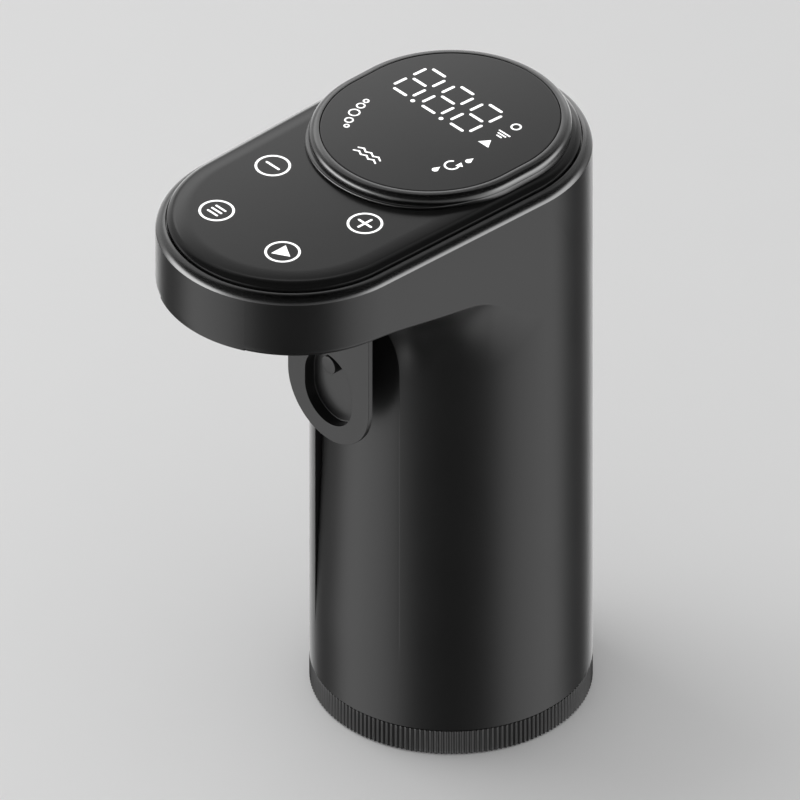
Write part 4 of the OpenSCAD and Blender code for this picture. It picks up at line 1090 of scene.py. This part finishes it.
# Steps by a value's two ends, and what each gives at them. The high and the middle bank are brighter
# on the left; a bank takes over from the one below it as a direction rises; straight up, straight
# down and low behind the part are dim
HIGH_GAIN = (-0.9, 0.9, 1.35, 0.75)
MIDDLE_GAIN = (-0.9, -0.2, 1.5, 1.0)
MIDDLE_RISE = (-0.45, -0.15)
HIGH_RISE = (0.12, 0.40)
UP_DIM = (0.97, 0.86, 0.05, 1.0)
DOWN_DIM = (-0.98, -0.86, 0.08, 1.0)
REAR_DIM = (-0.95, -0.72, 0.08, 1.0)
REAR_TURN = (0.55, 0.75)
MATT_LIGHT = 0.85


def step_node(tree, value, start, end, start_value=0.0, end_value=1.0):
    """Smooth step of a value between two ends"""
    node = add_node(tree, "MapRange")
    node.interpolation_type = "SMOOTHSTEP"
    set_sockets(node, {"From Min": start, "From Max": end, "To Min": start_value, "To Max": end_value})
    tree.links.new(value, node.inputs["Value"])
    return node.outputs["Result"]


def mix_node(tree, share, first, second):
    """Mix of two values by a share: first + share * (second - first)"""
    node = add_node(tree, "Mix")
    for name, value in (("Factor", share), ("A", first), ("B", second)):
        feed(tree, value, node.inputs[name])
    return node.outputs["Result"]


def make_world():
    """Soft studio round the part: even for matt surfaces, banks of light for glossy ones.

    The banks' radiance goes by the turn from the camera, and passes smoothly from the low ramp to
    the middle and the high one as a direction rises; straight up and straight down are dark.
    """
    world = bpy.data.worlds.new("studio")
    world.use_nodes = True
    bpy.context.scene.world = world
    world.cycles.sampling_method = "NONE"
    tree = world.node_tree
    tree.nodes.clear()
    turned = add_node(tree, "Mapping", Rotation=(0, 0, -VIEW_TURN))
    tree.links.new(add_node(tree, "TexCoord").outputs["Generated"], turned.inputs["Vector"])
    axes = add_node(tree, "SeparateXYZ")
    tree.links.new(turned.outputs["Vector"], axes.inputs[0])
    x, y, z = (axes.outputs[k] for k in "XYZ")
    angle = math_node(tree, "ARCTAN2", x, math_node(tree, "MULTIPLY", y, -1.0))
    share = math_node(tree, "DIVIDE", math_node(tree, "ABSOLUTE", angle), math.pi)
    low, middle, high = (bank(tree, share, stops, "EASE") for stops in (LOW_STOPS, MIDDLE_STOPS, HIGH_STOPS))
    high = math_node(tree, "MULTIPLY", high, step_node(tree, x, *HIGH_GAIN))
    middle = math_node(tree, "MULTIPLY", middle, step_node(tree, x, *MIDDLE_GAIN))
    light = mix_node(tree, step_node(tree, z, *MIDDLE_RISE), low, middle)
    light = mix_node(tree, step_node(tree, z, *HIGH_RISE), light, high)
    light = math_node(tree, "MULTIPLY", light, step_node(tree, z, *UP_DIM))
    down = mix_node(tree, step_node(tree, share, *REAR_TURN), step_node(tree, z, *DOWN_DIM),
                    step_node(tree, z, *REAR_DIM))
    light = math_node(tree, "MULTIPLY", light, down)
    light = mix_node(tree, add_node(tree, "LightPath").outputs["Is Glossy Ray"], MATT_LIGHT, light)
    background = add_node(tree, "Background")
    out = add_node(tree, "OutputWorld")
    tree.links.new(light, background.inputs["Strength"])
    tree.links.new(background.outputs[0], out.inputs["Surface"])


CARD_DISTANCE = 300.0
CARD_HALF = (190.0, 150.0)
CARD_POINTS = 33
CARD_LEAN = 0.35
# Place up the card, leaning with the place across it, and its radiance there
CARD_STOPS = [(-150, 0.5), (-100, 0.9), (-60, 1.62), (-45, 1.78), (-26, 1.58), (-15, 1.32), (-4, 1.03),
              (7, 0.73), (14, 0.57), (30, 0.54), (55, 0.49), (80, 0.43), (105, 0.32), (150, 0.10)]


def make_card():
    """Soft light card behind the part, where level tops mirror the camera's line of sight.

    It faces back along that line, and dims upwards, to the right and at its foot. Only mirror rays
    see it.
    """
    right, up, line = view_axes() * [[1, 1, 1], [-1, -1, 1], [-1, -1, 1]]
    middle = np.array([0, -REACH / 2, PANEL_TOP_Z]) + CARD_DISTANCE * line
    across = np.linspace(-1, 1, CARD_POINTS)[None, :, None] * CARD_HALF[0]
    rise = np.linspace(-1, 1, CARD_POINTS)[:, None, None] * CARD_HALF[1]
    points, faces = grid(middle + across * right + rise * up)
    material = bpy.data.materials.new("card_light")
    material.use_nodes = True
    card = add_mesh("light_card", points, faces.tolist(), material)
    first, last = CARD_STOPS[0][0], CARD_STOPS[-1][0]
    dimming = (rise + CARD_LEAN * across - first).reshape(-1) / (last - first)
    attribute = card.data.attributes.new("dimming", "FLOAT", "POINT")
    attribute.data.foreach_set("value", dimming.astype(np.float32))
    tree = material.node_tree
    tree.nodes.clear()
    read = add_node(tree, "Attribute")
    read.attribute_name = "dimming"
    stops = [((place - first) / (last - first), value) for place, value in CARD_STOPS]
    light = add_node(tree, "Emission")
    out = add_node(tree, "OutputMaterial")
    tree.links.new(bank(tree, read.outputs["Fac"], stops, "LINEAR"), light.inputs["Strength"])
    tree.links.new(light.outputs[0], out.inputs["Surface"])
    card.visible_camera = False
    card.visible_diffuse = False
    card.visible_shadow = False
    card.visible_transmission = False


# Lamp's strength, width and place in watts and metres, and how it is turned
LAMP_POWER = 3.0
LAMP_WIDTH = 0.6
LAMP_PLACE = (-0.45, -0.25, 0.9)
LAMP_TURN = (math.radians(-15), math.radians(-27), 0)


def make_lamp():
    """One large soft lamp high on the camera's left, for the shadow on the floor"""
    data = bpy.data.lights.new("soft_lamp", "AREA")
    data.energy = LAMP_POWER
    data.size = LAMP_WIDTH
    lamp = add_object("soft_lamp", data)
    lamp.location = LAMP_PLACE
    lamp.rotation_euler = LAMP_TURN
    lamp.visible_glossy = False


make_floor()
make_camera()
make_world()
make_card()
make_lamp()
bpy.context.scene.view_settings.view_transform = "Standard"
